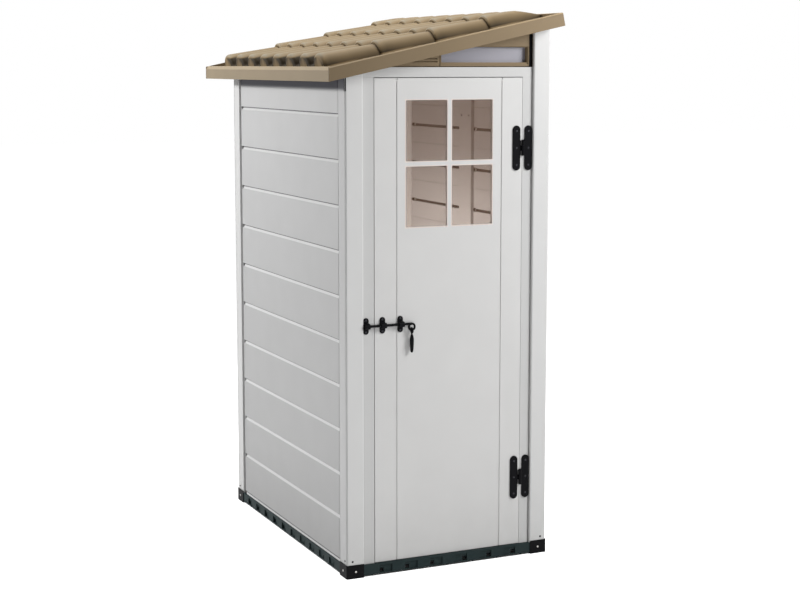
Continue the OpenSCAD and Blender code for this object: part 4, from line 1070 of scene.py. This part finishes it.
# %% Places of the screws
SCREWS = {
    "foot_screws": "shed", "post_screws": "shed", "batten_screws": "shed", "keeper_screws": "shed",
    "frame_hinge_screws": "shed", "door_hinge_screws": "door", "guide_screws": "door",
}
HEAD_RADIUS = 0.0036
RIM_SHARE = 0.9


def separate_pins(mesh):
    """The points of each pin: a point takes the lowest number in its faces, until nothing changes."""
    places = np.empty(len(mesh.vertices) * 3)
    mesh.vertices.foreach_get("co", places)
    places, index = np.unique(places.reshape(-1, 3).round(6), axis=0, return_inverse=True)
    mesh.calc_loop_triangles()
    faces = np.empty(len(mesh.loop_triangles) * 3, np.int32)
    mesh.loop_triangles.foreach_get("vertices", faces)
    faces = index.reshape(-1)[faces].reshape(-1, 3)
    number = np.arange(len(places))
    while True:
        lower = number.copy()
        np.minimum.at(lower, faces.reshape(-1), np.repeat(number[faces].min(axis=1), 3))
        if (lower == number).all():
            return [places[number == name] for name in np.unique(number)]
        number = lower


def head_place(points):
    """The middle of a pin's head and the direction out of it, for a pin along one of the axes."""
    low, high = points.min(axis=0), points.max(axis=0)
    along = int(np.argmax(high - low))
    middle = (low + high) / 2
    across = np.delete(np.abs(points - middle), along, axis=1).max(axis=1)
    rim = points[across > HEAD_RADIUS * RIM_SHARE, along]
    sign = 1 if rim.mean() > middle[along] else -1
    middle[along] = high[along] if sign > 0 else low[along]
    return middle, sign * np.eye(3)[along]


heads = {node: [head_place(pin) for pin in separate_pins(nodes[node].data)] for node in SCREWS}
print("screws:", {node: len(found) for node, found in heads.items()})

# %% Cross recess
CROSS_HALF_WIDTH, CROSS_REACH, CROSS_DEPTH = 0.00055, 0.0023, 0.0011
CROSS_FLARE, CROSS_END = 1.5, 0.0004
CROSS_TURN = 2.4
# Only the first rings of the profile can sink into the cross, not the rim and the shank.
CROSS_RINGS = 7


def cross_recess(side, up):
    """1 inside a cross of two arms, 0 outside: the larger of the arms, each a product of two soft steps.

    An arm falls off between a half and one and a half of its half width, and over CROSS_END at its end.
    """
    def arm(across, along):
        width = np.clip(CROSS_FLARE - np.abs(across) / CROSS_HALF_WIDTH, 0, 1)
        return width * np.clip((CROSS_REACH - np.abs(along)) / CROSS_END, 0, 1)
    return np.maximum(arm(side, up), arm(up, side))


print("cross in the middle and at its end:", cross_recess(0, 0), cross_recess(CROSS_REACH, 0))

# %% Turned screws
# The profile runs from the middle of the domed head over its rim and along the shank to the tip, as
# pairs of a radius and a depth in millimetres.
DOME = [(0.2, 0), (0.6, 0), (1.0, 0.04), (1.4, 0.08), (1.8, 0.14), (2.2, 0.22), (2.6, 0.34), (3.1, 0.55),
        (3.5, 0.85)]
RIM, SHANK = [(3.6, 1.0), (3.6, 1.6)], [(1.8, 1.6), (1.8, 15.6), (0.8, 16.6)]
SCREW_RADII, SCREW_DEPTHS = np.array(DOME + RIM + SHANK).T / 1000
TURN_STEPS = 40
RIM_ANGLE = math.radians(40)


def turned_screws(name, places):
    """Screws as rings of points round the line that each one is driven along.

    A point is head + r * (cos a * side + sin a * up) - depth(r, a) * direction. The cross is turned by
    CROSS_TURN radians more on each screw. A face at either end closes the rings.
    """
    angle = np.linspace(0, 2 * math.pi, TURN_STEPS, endpoint=False)
    ring = np.arange(TURN_STEPS)
    radius = SCREW_RADII[:, None]
    points, faces = [], []
    for count, (middle, direction) in enumerate(places):
        side = np.roll(np.abs(direction), 1)
        up = np.cross(direction, side)
        own = angle + CROSS_TURN * count
        recess = cross_recess(radius * np.cos(own), radius * np.sin(own))
        recess[CROSS_RINGS:] = 0
        depth = SCREW_DEPTHS[:, None] + CROSS_DEPTH * recess
        first = len(points) * len(SCREW_RADII) * TURN_STEPS
        points.append(middle + (radius * np.cos(angle))[..., None] * side
                      + (radius * np.sin(angle))[..., None] * up - depth[..., None] * direction)
        rings = first + ring + TURN_STEPS * np.arange(len(SCREW_RADII))[:, None]
        turned = np.roll(rings, -1, axis=1)
        quads = np.stack([rings[:-1], rings[1:], turned[1:], turned[:-1]], axis=-1).reshape(-1, 4)
        faces += quads.tolist() + [rings[0].tolist(), rings[-1][::-1].tolist()]
    mesh = bpy.data.meshes.new(name)
    mesh.from_pydata(np.concatenate([p.reshape(-1, 3) for p in points]).tolist(), [], faces)
    mesh.polygons.foreach_set("use_smooth", np.ones(len(faces), bool))
    mesh.set_sharp_from_angle(angle=RIM_ANGLE)
    return put_in_scene(name, mesh)


for node, body in SCREWS.items():
    screws = turned_screws("turned_" + node, heads[node])
    screws.data.materials.append(nodes[node].data.materials[0])
    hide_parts(node)
    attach(screws, body)
print("sets of turned screws:", len(SCREWS))
